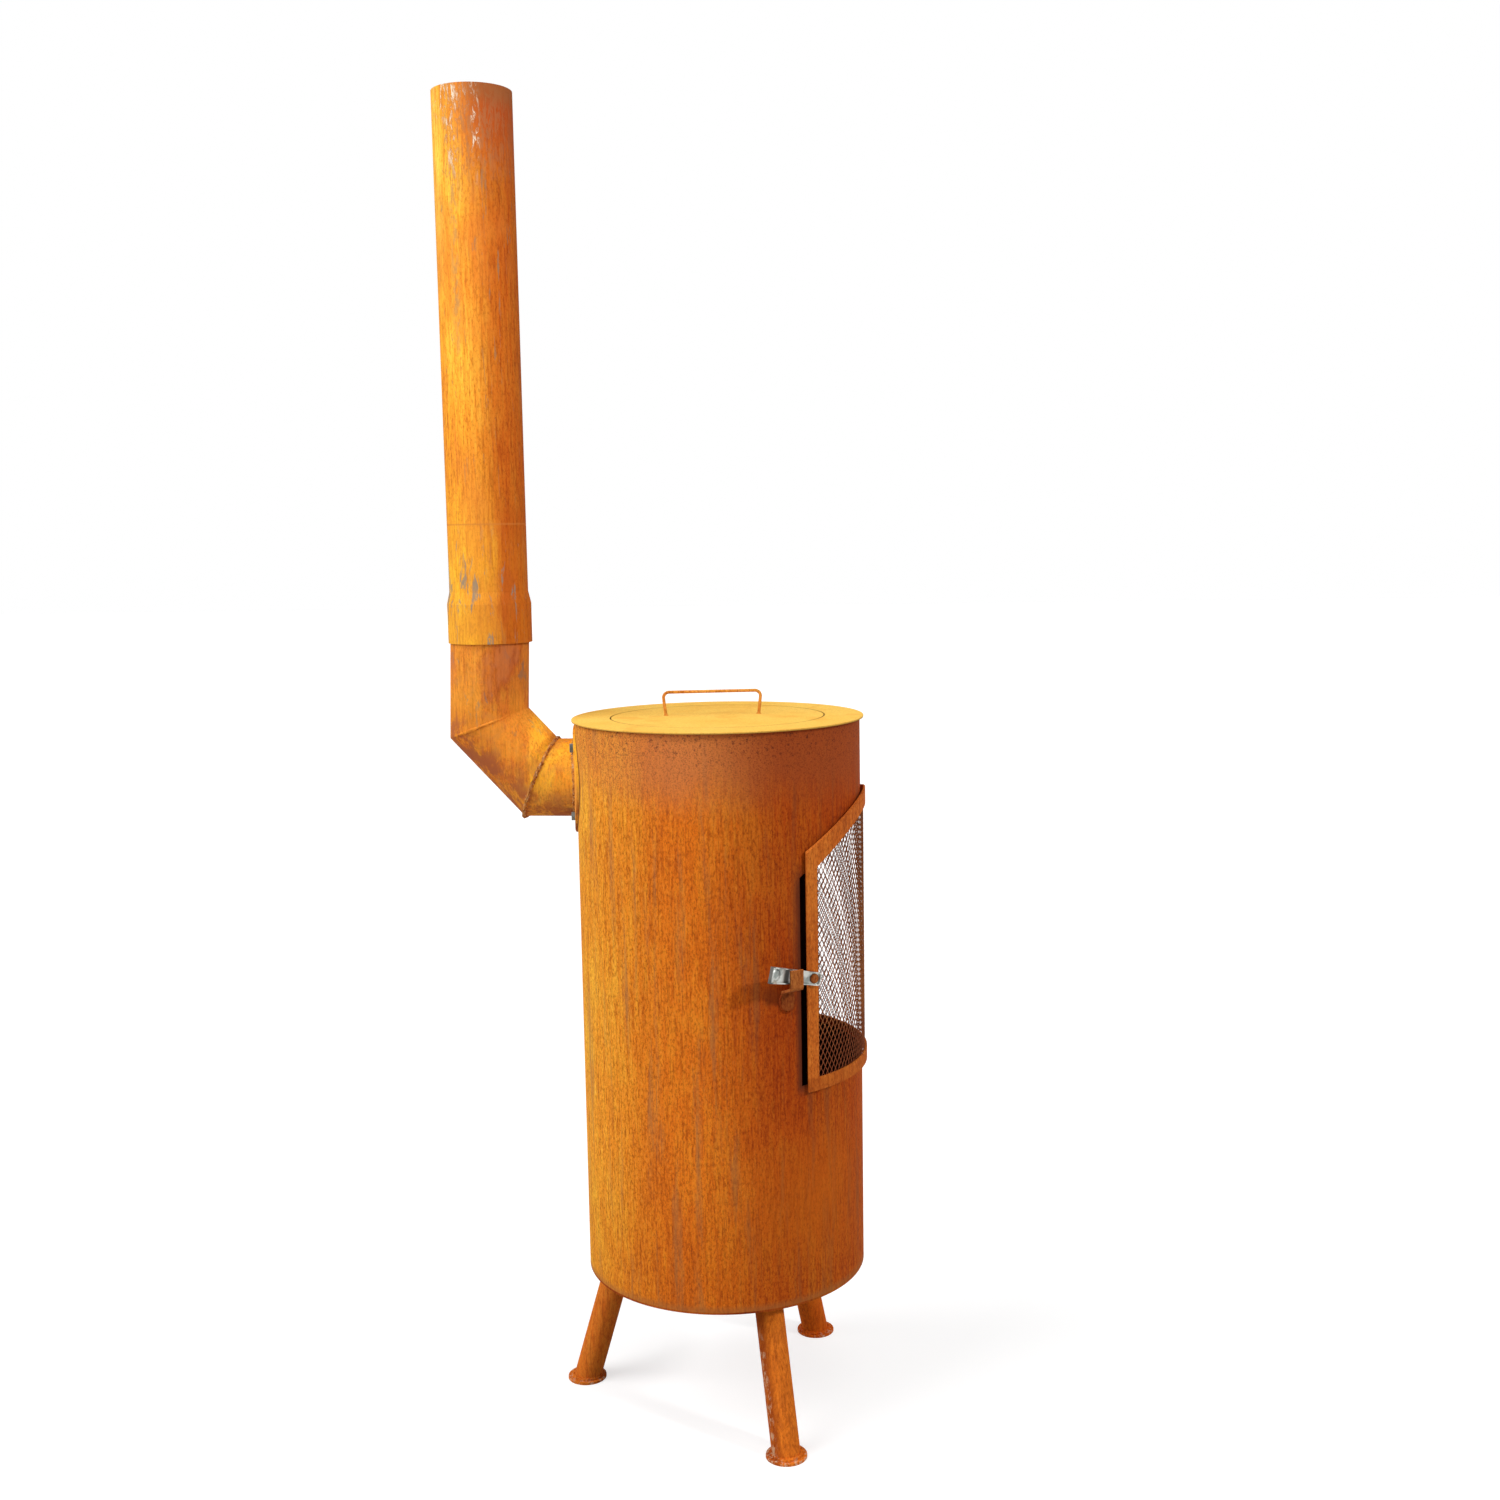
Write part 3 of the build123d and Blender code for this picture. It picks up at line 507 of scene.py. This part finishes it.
# pale flakes by the end, in a patch and in two upright lines, with brown scabs round them
upright = flatten(tree, place, (1, 1, 0))
long_line_place = (-0.0597, 0.3830, 0)
long_line = near(tree, upright, long_line_place, 0.003, 0.013)
long_line = times(tree, long_line, window(tree, z_at, 1.92, 2.00))
short_line = near(tree, upright, (-0.0590, 0.3442, 0), 0.002, 0.008)
short_line = times(tree, short_line, window(tree, z_at, 1.93, 2.00))
end_patch = near(tree, place, (-0.056, 0.390, 2.070), 0.010, 0.050)
flake_zone = maths(tree, "MAXIMUM", end_patch, maths(tree, "MAXIMUM", long_line, short_line))
flakes = times(tree, window(tree, torn, 0.53, 0.60), flake_zone)
scab_zone = near(tree, place, (-0.059, 0.376, 2.03), 0.02, 0.15)
scab_zone = times(tree, scab_zone, window(tree, y_at, 0.402, 0.390))
scab = times(tree, window(tree, torn, 0.46, 0.54), times(tree, scab_zone, 0.7))
colour = lay(tree, colour, (0.34, 0.15, 0.06), times(tree, scab, 0.8))
colour = lay(tree, colour, (0.80, 0.68, 0.52), times(tree, flakes, 0.9))
grey_line = near(tree, upright, long_line_place, 0.002, 0.010)
grey_line = times(tree, grey_line, window(tree, z_at, 1.64, 1.74))
grey_line = times(tree, grey_line, window(tree, torn, 0.45, 0.56))
grey_line = times(tree, grey_line, window(tree, z_at, 2.00, 1.94, 0.0, 0.65))
colour = lay(tree, colour, (0.40, 0.21, 0.07), grey_line)
burnt_end = times(tree, window(tree, z_at, 2.045, 2.080), window(tree, y_at, 0.372, 0.335))
colour = lay(tree, colour, (0.27, 0.10, 0.030), times(tree, burnt_end, 0.6))
# short dark cracks down the middle
crack_zone = near(tree, place, (-0.056, 0.392, 1.78), 0.10, 0.42)
cracks = noise(tree, place, (1, 1, 0.10), 120.0, 6.0, 0.7, 0.6)
crack_mask = times(tree, window(tree, cracks, 0.60, 0.66), crack_zone)
colour = lay(tree, colour, (0.25, 0.14, 0.07), times(tree, crack_mask, 0.85))
# grey scale and dark streaks on the socket, painted shade with a streaky edge down its side
# toward the drum, and the painted ring over it
scale_zone = window(tree, z_at, 1.44, 1.37)
dark_streaks = noise(tree, place, (1, 1, 0.12), 70.0, 6.0, 0.7, 0.4)
foot_painted_shade = window(tree, maths(tree, "MULTIPLY_ADD", dark_streaks, 0.05, y_at), 0.366, 0.348)
foot_painted_shade = times(tree, foot_painted_shade, window(tree, z_at, 1.50, 1.42))
colour = shade(tree, colour, (0.76, 0.50, 0.50), foot_painted_shade)
streak_mask = times(tree, window(tree, dark_streaks, 0.54, 0.66), scale_zone)
colour = lay(tree, colour, (0.42, 0.14, 0.035), times(tree, streak_mask, 0.75))
bare = noise(tree, place, (1, 1, 0.22), 60.0, 7.0, 0.70, 0.4)
bare_mask = times(tree, window(tree, bare, 0.56, 0.63), scale_zone)
colour = lay(tree, colour, (0.24, 0.20, 0.15), times(tree, bare_mask, 0.85))
ring_line = window(tree, z_at, 1.426, 1.4285)
ring_line = times(tree, ring_line, window(tree, z_at, 1.431, 1.4286))
colour = lay(tree, colour, (0.52, 0.17, 0.03), times(tree, ring_line, 0.6))
lift = maths(tree, "MULTIPLY_ADD", maths(tree, "ADD", flakes, bare_mask), -0.8, lift)
chimney_skin = close_skin(skin, tree, colour, lift, strength=0.22, depth=0.0006)

# Elbow and flange: the same rust, redder, with grey scale
skin, tree, place, colour, lift = rust(
    "elbow_rust",
    ochre=(0.92, 0.43, 0.055),
    orange=(0.84, 0.27, 0.028),
    brown=(0.56, 0.17, 0.024),
    ochre_share=0.55,
    streak=1.0,
    grain=0.6,
)
_, y_at, z_at = axes_of(tree, place)
bare = noise(tree, place, (1, 1, 0.35), 40.0, 7.0, 0.7, 0.4)
bare_share = window(tree, z_at, 1.02, 1.20, 0.35, 1.0)
bare_mask = times(tree, window(tree, bare, 0.58, 0.64), bare_share)
colour = lay(tree, colour, (0.21, 0.17, 0.13), times(tree, bare_mask, 0.8))
dirt = noise(tree, place, (1, 1, 1), 24.0, 6.0, 0.65, 0.5)
dirt_mask = times(tree, window(tree, dirt, 0.50, 0.66), 0.5)
colour = lay(tree, colour, (0.50, 0.18, 0.06), dirt_mask)
riser_shade = times(tree, window(tree, y_at, 0.392, 0.330), window(tree, z_at, 1.12, 1.17))
colour = shade(tree, colour, (0.64, 0.45, 0.55), riser_shade)
# the underside is darker and redder, in patches
slope_gap = maths(tree, "MULTIPLY_ADD", z_at, 0.684, -0.4907)
slope_gap = maths(tree, "MULTIPLY_ADD", y_at, -0.7295, slope_gap)
under_slope = window(tree, slope_gap, 0.008, -0.036)
under_stub = window(tree, z_at, 1.010, 0.966)
under = maths(tree, "MAXIMUM", under_slope, under_stub)
# ochre and red blotches with frayed edges
blotch = noise(tree, place, (1, 1, 0.6), 14.0, 5.0, 0.6, 0.6)
frayed = noise(tree, place, (1, 1, 0.22), 95.0, 6.0, 0.72)
blotch = maths(tree, "MULTIPLY_ADD", frayed, 0.50, maths(tree, "SUBTRACT", blotch, 0.25))
on_stub = window(tree, y_at, 0.305, 0.285)
low_part = window(tree, z_at, 1.19, 1.11, 0.15, 0.35)
ochre_mask = times(tree, window(tree, blotch, 0.53, 0.40), low_part)
colour = lay(tree, colour, (0.98, 0.48, 0.045), ochre_mask)
red_share = maths(tree, "MULTIPLY_ADD", on_stub, -0.40, 0.62)
red_mask = times(tree, window(tree, blotch, 0.50, 0.62), red_share)
colour = lay(tree, colour, (0.56, 0.17, 0.045), red_mask)
lit_stub = times(tree, on_stub, window(tree, z_at, 0.985, 1.030))
colour = shade(tree, colour, (1.22, 1.30, 0.80), lit_stub)
on_middle = maths(tree, "SUBTRACT", window(tree, z_at, 1.165, 1.120), on_stub)
on_middle = maths(tree, "MAXIMUM", on_middle, 0.0)
colour = shade(tree, colour, (0.90, 0.76, 0.72), on_middle)
torn_dirt = maths(tree, "MULTIPLY_ADD", frayed, 0.40, maths(tree, "SUBTRACT", dirt, 0.20))
patch = times(tree, under, window(tree, torn_dirt, 0.42, 0.56))
colour = lay(tree, colour, (0.40, 0.105, 0.034), times(tree, patch, 0.85))
lift = maths(tree, "MULTIPLY_ADD", bare_mask, -0.8, lift)
elbow_skin = close_skin(skin, tree, colour, lift, strength=0.25, depth=0.0006)

# Legs, feet and base plate
skin, tree, place, colour, lift = rust(
    "leg_rust",
    ochre=(0.93, 0.36, 0.036),
    orange=(0.87, 0.245, 0.018),
    brown=(0.50, 0.115, 0.013),
    ochre_share=0.42,
    streak=0.9,
    grain=0.55,
)
x_at, y_at, z_at = axes_of(tree, place)
# painted shade: the legs away from the latch side, and the one behind, are darker
far_side = window(tree, x_at, 0.02, 0.12)
colour = shade(tree, colour, (0.76, 0.48, 0.28), far_side)
colour = shade(tree, colour, (0.72, 0.58, 0.62), window(tree, y_at, 0.08, 0.15))
# the leg by the latch side has a shaded flank, with scuffs along it
near_leg = near(tree, place, (-0.185, -0.098, 0.115), 0.13, 0.15)
leg_side = maths(tree, "MULTIPLY_ADD", z_at, -0.1376, maths(tree, "ADD", y_at, 0.1141))
colour = shade(tree, colour, (0.88, 0.78, 0.74), near_leg)
shade_side = times(tree, near_leg, window(tree, leg_side, -0.001, 0.012))
colour = shade(tree, colour, (0.56, 0.43, 0.42), times(tree, shade_side, 0.9))
# the base plate's edge is dark
plate_edge = window(tree, z_at, 0.2284, 0.2291)
plate_edge = times(tree, plate_edge, window(tree, z_at, 0.2334, 0.2324))
colour = shade(tree, colour, (0.50, 0.36, 0.30), plate_edge)
# worn rims of the feet, and the scuffs
worn = noise(tree, place, (1, 1, 0.5), 150.0, 5.0, 0.72)
low_zone = window(tree, z_at, 0.009, 0.002)
worn_mask = times(tree, low_zone, 0.75)
worn_mask = times(tree, window(tree, worn, 0.52, 0.60), worn_mask)
colour = lay(tree, colour, (0.66, 0.50, 0.36), worn_mask)
scuff_side = times(tree, near_leg, window(tree, leg_side, 0.008, 0.015))
scuff_zone = times(tree, scuff_side, window(tree, z_at, 0.20, 0.15))
scuffs = times(tree, window(tree, worn, 0.50, 0.58), scuff_zone)
colour = lay(tree, colour, (0.60, 0.40, 0.24), times(tree, scuffs, 0.6))
leg_skin = close_skin(skin, tree, colour, lift, strength=0.3, depth=0.0006)

# Door frame and hinge halves: red brown, darker along the foot
skin, tree, place, colour, lift = rust(
    "door_rust",
    ochre=(0.80, 0.234, 0.028),
    orange=(0.67, 0.154, 0.017),
    brown=(0.36, 0.075, 0.013),
    ochre_share=0.42,
    streak=0.8,
    grain=0.8,
)
door_foot = window(tree, axes_of(tree, place)[2], 0.592, 0.580)
colour = shade(tree, colour, (0.78, 0.70, 0.66), door_foot)
door_skin = close_skin(skin, tree, colour, lift, strength=0.35, depth=0.0006)

# Hook and rivet: darker, handled rust
skin, tree, place, colour, lift = rust(
    "hook_rust",
    ochre=(0.51, 0.155, 0.031),
    orange=(0.38, 0.102, 0.021),
    brown=(0.18, 0.045, 0.013),
    ochre_share=0.42,
    streak=0.0,
    grain=1.0,
)
hook_foot = window(tree, axes_of(tree, place)[2], 0.734, 0.724)
colour = shade(tree, colour, (0.82, 0.66, 0.54), hook_foot)
hook_skin = close_skin(skin, tree, colour, lift, strength=0.45, depth=0.0007)

# Weld metal: lumpy, brown with ochre dust
skin, tree, place, colour, lift = rust(
    "weld_rust",
    ochre=(0.72, 0.32, 0.07),
    orange=(0.40, 0.13, 0.03),
    brown=(0.16, 0.055, 0.022),
    ochre_share=0.4,
    streak=0.0,
    grain=1.3,
)
flecks = noise(tree, place, (1, 1, 1), 260.0, 4.0, 0.7)
flecks = times(tree, window(tree, flecks, 0.55, 0.62), 0.6)
colour = lay(tree, colour, (0.66, 0.54, 0.36), flecks)
weld_skin = close_skin(skin, tree, colour, lift, strength=0.6, depth=0.0009)

# Mesh of the door: brown, darker in its lower half
skin, tree, place, colour, lift = rust(
    "mesh_rust",
    ochre=(0.52, 0.17, 0.050),
    orange=(0.31, 0.095, 0.034),
    brown=(0.14, 0.045, 0.022),
    ochre_share=0.4,
    streak=0.0,
    grain=0.8,
)
lower_half = window(tree, axes_of(tree, place)[2], 0.68, 0.63)
colour = shade(tree, colour, (0.72, 0.62, 0.76), lower_half)
mesh_skin = close_skin(skin, tree, colour, lift, strength=0.3, depth=0.0004)

# Grate, its shelf and lugs, and the lid's seat: black with soot
skin, tree, place, colour, lift = rust(
    "grate_soot",
    ochre=(0.070, 0.022, 0.012),
    orange=(0.038, 0.013, 0.008),
    brown=(0.022, 0.011, 0.008),
    ochre_share=0.35,
    streak=0.0,
    grain=1.0,
)
grate_skin = close_skin(skin, tree, colour, lift, strength=0.5, depth=0.0008)

# Zinc-plated lever, bolts and nuts
skin, tree, surface, place = new_skin("zinc_plate")
cloudy = noise(tree, place, (1, 1, 1), 70.0, 3.0, 0.5)
stain = noise(tree, place, (1, 1, 1), 60.0, 5.0, 0.6, 0.5)
colour = lay(tree, (0.25, 0.27, 0.25), (0.60, 0.61, 0.57), window(tree, cloudy, 0.36, 0.56))
# painted dark reflections at the lever's crank and at the end of its grip; the bolts and nuts,
# which are further from the rivet, are painted dark all over
away = distance(tree, place, rivet_place)
crank = times(tree, window(tree, away, 0.054, 0.058), window(tree, away, 0.069, 0.064))
painted_dark_reflection = maths(tree, "MAXIMUM", crank, window(tree, away, 0.092, 0.096))
colour = lay(tree, colour, (0.05, 0.055, 0.05), times(tree, painted_dark_reflection, 0.8))
stain = times(tree, window(tree, stain, 0.60, 0.72), 0.6)
colour = lay(tree, colour, (0.38, 0.22, 0.10), stain)
surface.inputs["Metallic"].default_value = 0.9
tree.links.new(window(tree, cloudy, 0.3, 0.7, 0.28, 0.46), surface.inputs["Roughness"])
zinc_skin = close_skin(skin, tree, colour, cloudy, strength=0.15, depth=0.0003)

# Turned steel of the hinge pins and washers and the latch spacer
skin, tree, surface, place = new_skin("pin_steel")
cloudy = noise(tree, place, (1, 1, 1), 300.0, 5.0, 0.6)
colour = lay(tree, (0.36, 0.30, 0.26), (0.42, 0.20, 0.09), window(tree, cloudy, 0.45, 0.62))
surface.inputs["Metallic"].default_value = 0.8
surface.inputs["Roughness"].default_value = 0.45
pin_skin = close_skin(skin, tree, colour, cloudy, strength=0.2, depth=0.0003)

# ---------------------------------------------------------------- finishes of the CAD pieces
finishes = {
    drum_skin: ["drum_shell"],
    top_skin: ["top_plate", "lid_plate"],
    handle_skin: ["lid_handle"],
    chimney_skin: ["chimney_pipe"],
    elbow_skin: ["elbow_stub", "elbow_middle", "elbow_riser", "flue_flange"],
    leg_skin: [
        "leg_rear", "leg_left", "leg_right",
        "foot_rear", "foot_left", "foot_right", "base_plate",
    ],
    door_skin: ["door_frame", "hinge_lower_halves", "hinge_upper_halves"],
    hook_skin: ["latch_hook", "latch_rivet"],
    grate_skin: ["fire_grate", "grate_shelf", "grate_lugs", "lid_seat"],
    zinc_skin: ["latch_lever", "flange_bolts", "flange_nuts"],
    pin_skin: ["hinge_pins", "hinge_washers", "latch_spacer"],
}
for finish, names in finishes.items():
    for name in names:
        nodes[name].data.materials.clear()
        nodes[name].data.materials.append(finish)

# ---------------------------------------------------------------- expanded mesh of the door
cell_across = 0.0095
cell_up = 0.016
mesh_count = 72
mesh_middle = 0.2291
mesh_lap_angle = 1.2
mesh_half_angle = radians(door_half_angle - door_rail_angle + mesh_lap_angle)
mesh_low = 0.5808
mesh_arch = 0.2523
mesh_sheet = 0.0008
strand_inset = 0.059
strand_twist = 0.0002
net_centre = 0.782
arch_cuts = 7
deselect()
bpy.ops.mesh.primitive_grid_add(x_subdivisions=mesh_count, y_subdivisions=mesh_count, size=1)
net = newest("expanded_mesh")
edit(net, "FACE")
bpy.ops.mesh.inset(thickness=strand_inset / mesh_count, use_individual=True)
deselect()
# square cells become upright diamonds of the real pitch, standing in the door's window
turn(net, angles=(0, 0, pi / 4))
full_across = cell_across * mesh_count
full_up = cell_up * mesh_count
turn(net, size=(full_across / sqrt(2), full_up / sqrt(2), 1))
turn(net, place=(0, 0, net_centre), angles=(pi / 2, 0, 0))
edit(net, "FACE")
bpy.ops.mesh.select_all(action="DESELECT")


def holes_in(shape):
    """The faces of the net that are its holes, which are far larger than the strands'."""
    cell_area = cell_across * cell_up / 2
    return [face for face in shape.faces if face.calc_area() > cell_area * 0.5]


# the points at the top and foot of each hole
shape = bmesh.from_edit_mesh(net.data)
upper, lower = [], []
for face in holes_in(shape):
    points = sorted(face.verts, key=lambda point: point.co.z)
    lower.append(points[0])
    upper.append(points[-1])
bpy.ops.mesh.select_mode(type="VERT")
# each strand is twisted, as slit and drawn sheet is
for points, shift in ((upper, -strand_twist), (lower, strand_twist)):
    bpy.ops.mesh.select_all(action="DESELECT")
    for point in points:
        point.select_set(True)
    bmesh.update_edit_mesh(net.data)
    bpy.ops.transform.translate(value=(0, shift, 0))
bpy.ops.mesh.select_mode(type="FACE")
bpy.ops.mesh.select_all(action="DESELECT")
shape = bmesh.from_edit_mesh(net.data)
for face in holes_in(shape):
    face.select_set(True)
bmesh.update_edit_mesh(net.data)
bpy.ops.mesh.delete(type="FACE")
# trimmed to the window: sides, foot and the arch in short straight cuts
half_width = mesh_middle * mesh_half_angle
cuts = [
    ((half_width, 0, 0), (1, 0, 0)),
    ((-half_width, 0, 0), (-1, 0, 0)),
    ((0, 0, mesh_low), (0, 0, -1)),
]
for number in range(-arch_cuts, arch_cuts + 1):
    angle = mesh_half_angle * number / arch_cuts
    across = mesh_middle * sin(angle)
    rise = sqrt(mesh_arch**2 - across**2)
    slope = -across * cos(angle) / rise
    cuts.append(((mesh_middle * angle, 0, arch_centre + rise), (-slope, 0, 1)))
for spot, away in cuts:
    bpy.ops.mesh.select_all(action="SELECT")
    bpy.ops.mesh.bisect(plane_co=spot, plane_no=away, clear_outer=True)
deselect()
solid = net.modifiers.new("strand", "SOLIDIFY")
solid.thickness = mesh_sheet
solid.offset = 0
apply_all(net)
roll_round(net, mesh_middle)
turn(net, angles=(0, 0, radians(-door_turn)))
finish_piece(net, "door", mesh_skin, ["door_mesh"])

# ---------------------------------------------------------------- welds
# the elbow's two mitres and its stub on the flange
low_tilt = radians(middle_slope / 2)
low_weld = bead(
    "elbow_low_weld", radius=pipe_radius + 0.0002, thick=0.0027,
    rings=150, seed=3, rough=0.0010, ripple=0.0007,
)
turn(low_weld, size=(1, 1 / cos(low_tilt), 1))
turn(low_weld, place=(0, stub_end, flue_height), angles=(-pi / 2 + low_tilt, 0, 0))
finish_piece(low_weld, "stove", weld_skin)

high_tilt = radians((riser_slope - middle_slope) / 2)
high_weld = bead(
    "elbow_high_weld", radius=pipe_radius + 0.0001, thick=0.0022,
    rings=180, seed=5, rough=0.0006, ripple=0.0004,
)
turn(high_weld, size=(1, 0.945 / cos(high_tilt), 1))
high_turn = -pi / 2 + radians(middle_slope) + high_tilt
turn(high_weld, place=riser_foot, angles=(high_turn, 0, 0))
finish_piece(high_weld, "stove", elbow_skin)

flange_weld = bead(
    "flange_weld", radius=pipe_radius + 0.0008, thick=0.0032,
    rings=160, seed=7, rough=0.0008, ripple=0.0005,
)
turn(flange_weld, size=(1.0127, 1, 1))
turn(flange_weld, place=(0, 0, flue_height), angles=(pi / 2, 0, 0))
roll_round(flange_weld, flange_face, back=True)
finish_piece(flange_weld, "stove", weld_skin)

# each leg to the base plate and to its foot, on the slant of the leg
foot_weld_ring = 0.2418
foot_weld_height = 0.0052
for number, (side, angle) in enumerate(leg_angles.items()):
    slant = (1, 1 / cos(leg_lean), 1)
    facing = (0, 0, -radians(angle))
    head = bead(
        "leg_weld_" + side, radius=0.0229, thick=0.0026,
        rings=72, seed=11 + number, rough=0.0007, ripple=0.0004,
    )
    turn(head, size=slant)
    spot = outward(angle) * leg_ring_top
    turn(head, place=(spot.x, spot.y, base_height - 0.0006), angles=facing)
    finish_piece(head, "stove", weld_skin)
    foot = bead(
        "foot_weld_" + side, radius=0.0232, thick=0.0028,
        rings=72, seed=21 + number, rough=0.0010, ripple=0.0005,
    )
    turn(foot, size=slant)
    spot = outward(angle) * foot_weld_ring
    turn(foot, place=(spot.x, spot.y, foot_weld_height), angles=facing)
    finish_piece(foot, "stove", leg_skin)

# the hook's lower leg is welded all round its foot
hook_foot_height = 0.7115
hook_weld = bead(
    "hook_weld", radius=0.0116, thick=0.0019,
    rings=60, seed=31, rough=0.0008, ripple=0.0004,
)
turn(hook_weld, size=(1, 1.34, 1))
turn(hook_weld, angles=(pi / 2, 0, 0))
spot = outward(hook_angle) * (drum_radius + 0.0012)
hook_spot = (spot.x, spot.y, hook_foot_height)
turn(hook_weld, place=hook_spot, angles=(0, 0, -radians(hook_angle)))
finish_piece(hook_weld, "stove", drum_skin)

# the handle's two feet
handle_feet = ((0.02861, -0.06274), (0.00139, 0.08274))
for number, (x, y) in enumerate(handle_feet):
    name = "handle_weld_" + str(number + 1)
    collar = bead(
        name, radius=0.0026, thick=0.0011,
        rings=30, seed=41 + number, rough=0.0003, ripple=0.0002,
    )
    turn(collar, place=(x, y, lid_top + 0.0004))
    finish_piece(collar, "lid", handle_skin)

# hinge halves: the lower ones to the drum, the upper ones to the door's edge.
# Each line has the side, its body, the weld's angle and radius, its rise and its first seed.
hinge_welds = (
    ("drum", "stove", -60.6, 0.2262, -0.0165, 51),
    ("door", "door", -57.55, 0.2318, 0.0190, 53),
)
for side, body, angle, ring, rise, seed in hinge_welds:
    for number, height in enumerate(hinge_heights):
        name = "hinge_weld_" + side + "_" + str(number + 1)
        weld = run_bead(
            name, length=0.027, thick=0.0017, rings=15, seed=seed + number, rough=0.0004
        )
        spot = outward(angle) * ring
        turn(weld, place=(spot.x, spot.y, height + rise))
        finish_piece(weld, body, weld_skin)

# the drum's own upright seam, behind on the hinge side
seam = run_bead("drum_seam", length=0.880, thick=0.0012, rings=240, seed=61, rough=0.0003)
spot = outward(seam_angle) * (drum_radius + 0.0001)
turn(seam, place=(spot.x, spot.y, base_height + base_thick + drum_half_height))
finish_piece(seam, "stove", drum_skin)

# ---------------------------------------------------------------- floor, light and camera
def seen_pale(tree):
    """1 where a ray shows floor or backdrop to the camera, also by way of metal or glass."""
    rays = node(tree, "ShaderNodeLightPath").outputs
    mirrored = maths(tree, "MAXIMUM", rays["Is Glossy Ray"], rays["Is Transmission Ray"])
    return maths(tree, "MAXIMUM", rays["Is Camera Ray"], mirrored)


deselect()
bpy.ops.mesh.primitive_plane_add(size=60, location=(0, 0, 0))
floor = newest("studio_floor")
floor_grey = 0.45
floor_glow = 0.66
pale = bpy.data.materials.new("floor_white")
pale.use_nodes = True
tree = pale.node_tree
tree.nodes.clear()
out = node(tree, "ShaderNodeOutputMaterial")
matt = node(tree, "ShaderNodeBsdfDiffuse")
matt.inputs["Color"].default_value = (floor_grey, floor_grey, floor_grey, 1)
glow = node(tree, "ShaderNodeEmission")
glow.inputs["Color"].default_value = (1, 1, 1, 1)
both = node(tree, "ShaderNodeAddShader")
tree.links.new(times(tree, seen_pale(tree), floor_glow), glow.inputs["Strength"])
tree.links.new(matt.outputs["BSDF"], both.inputs[0])
tree.links.new(glow.outputs["Emission"], both.inputs[1])
tree.links.new(both.outputs["Shader"], out.inputs["Surface"])
floor.data.materials.append(pale)

world = bpy.data.worlds.new("studio")
bpy.context.scene.world = world
world.use_nodes = True
tree = world.node_tree
backdrop = tree.nodes["Background"]
backdrop.inputs["Color"].default_value = (1, 1, 1, 1)
sky = 0.20
sky_strength = maths(tree, "MULTIPLY_ADD", seen_pale(tree), 1 - sky, sky)
tree.links.new(sky_strength, backdrop.inputs["Strength"])


def lamp(name, heading, rise, power, softness):
    """A broad even lamp: its heading is in degrees from +X toward +Y."""
    bpy.ops.object.light_add(
        type="SUN",
        location=(0, 0, 4),
        rotation=(radians(90 - rise), 0, radians(heading + 90)),
    )
    light = bpy.context.object
    light.name = name
    light.data.energy = power
    light.data.angle = radians(softness)


deselect()
lamp("key_light", heading=118, rise=38, power=2.35, softness=45)
lamp("door_side_light", heading=246, rise=34, power=1.25, softness=6)
lamp("top_light", heading=180, rise=86, power=0.85, softness=60)
bpy.ops.object.light_add(
    type="AREA", location=(-2.0, 0.1, 1.90), rotation=(radians(87), 0, radians(-82.5))
)
softbox = bpy.context.object
softbox.name = "chimney_softbox"
softbox.data.size = 0.6
softbox.data.spread = radians(50)
softbox.data.energy = 2.6

deselect()
bpy.ops.object.camera_add(
    location=(-2.6705, -0.3497, 1.40905),
    rotation=(radians(82.7429), radians(0.9105), radians(-83.7356)),
)
camera = bpy.context.object
camera.name = "photo_camera"
camera.data.lens = 40.966
camera.data.sensor_width = 36
bpy.context.scene.camera = camera
bpy.context.scene.view_settings.view_transform = "Standard"
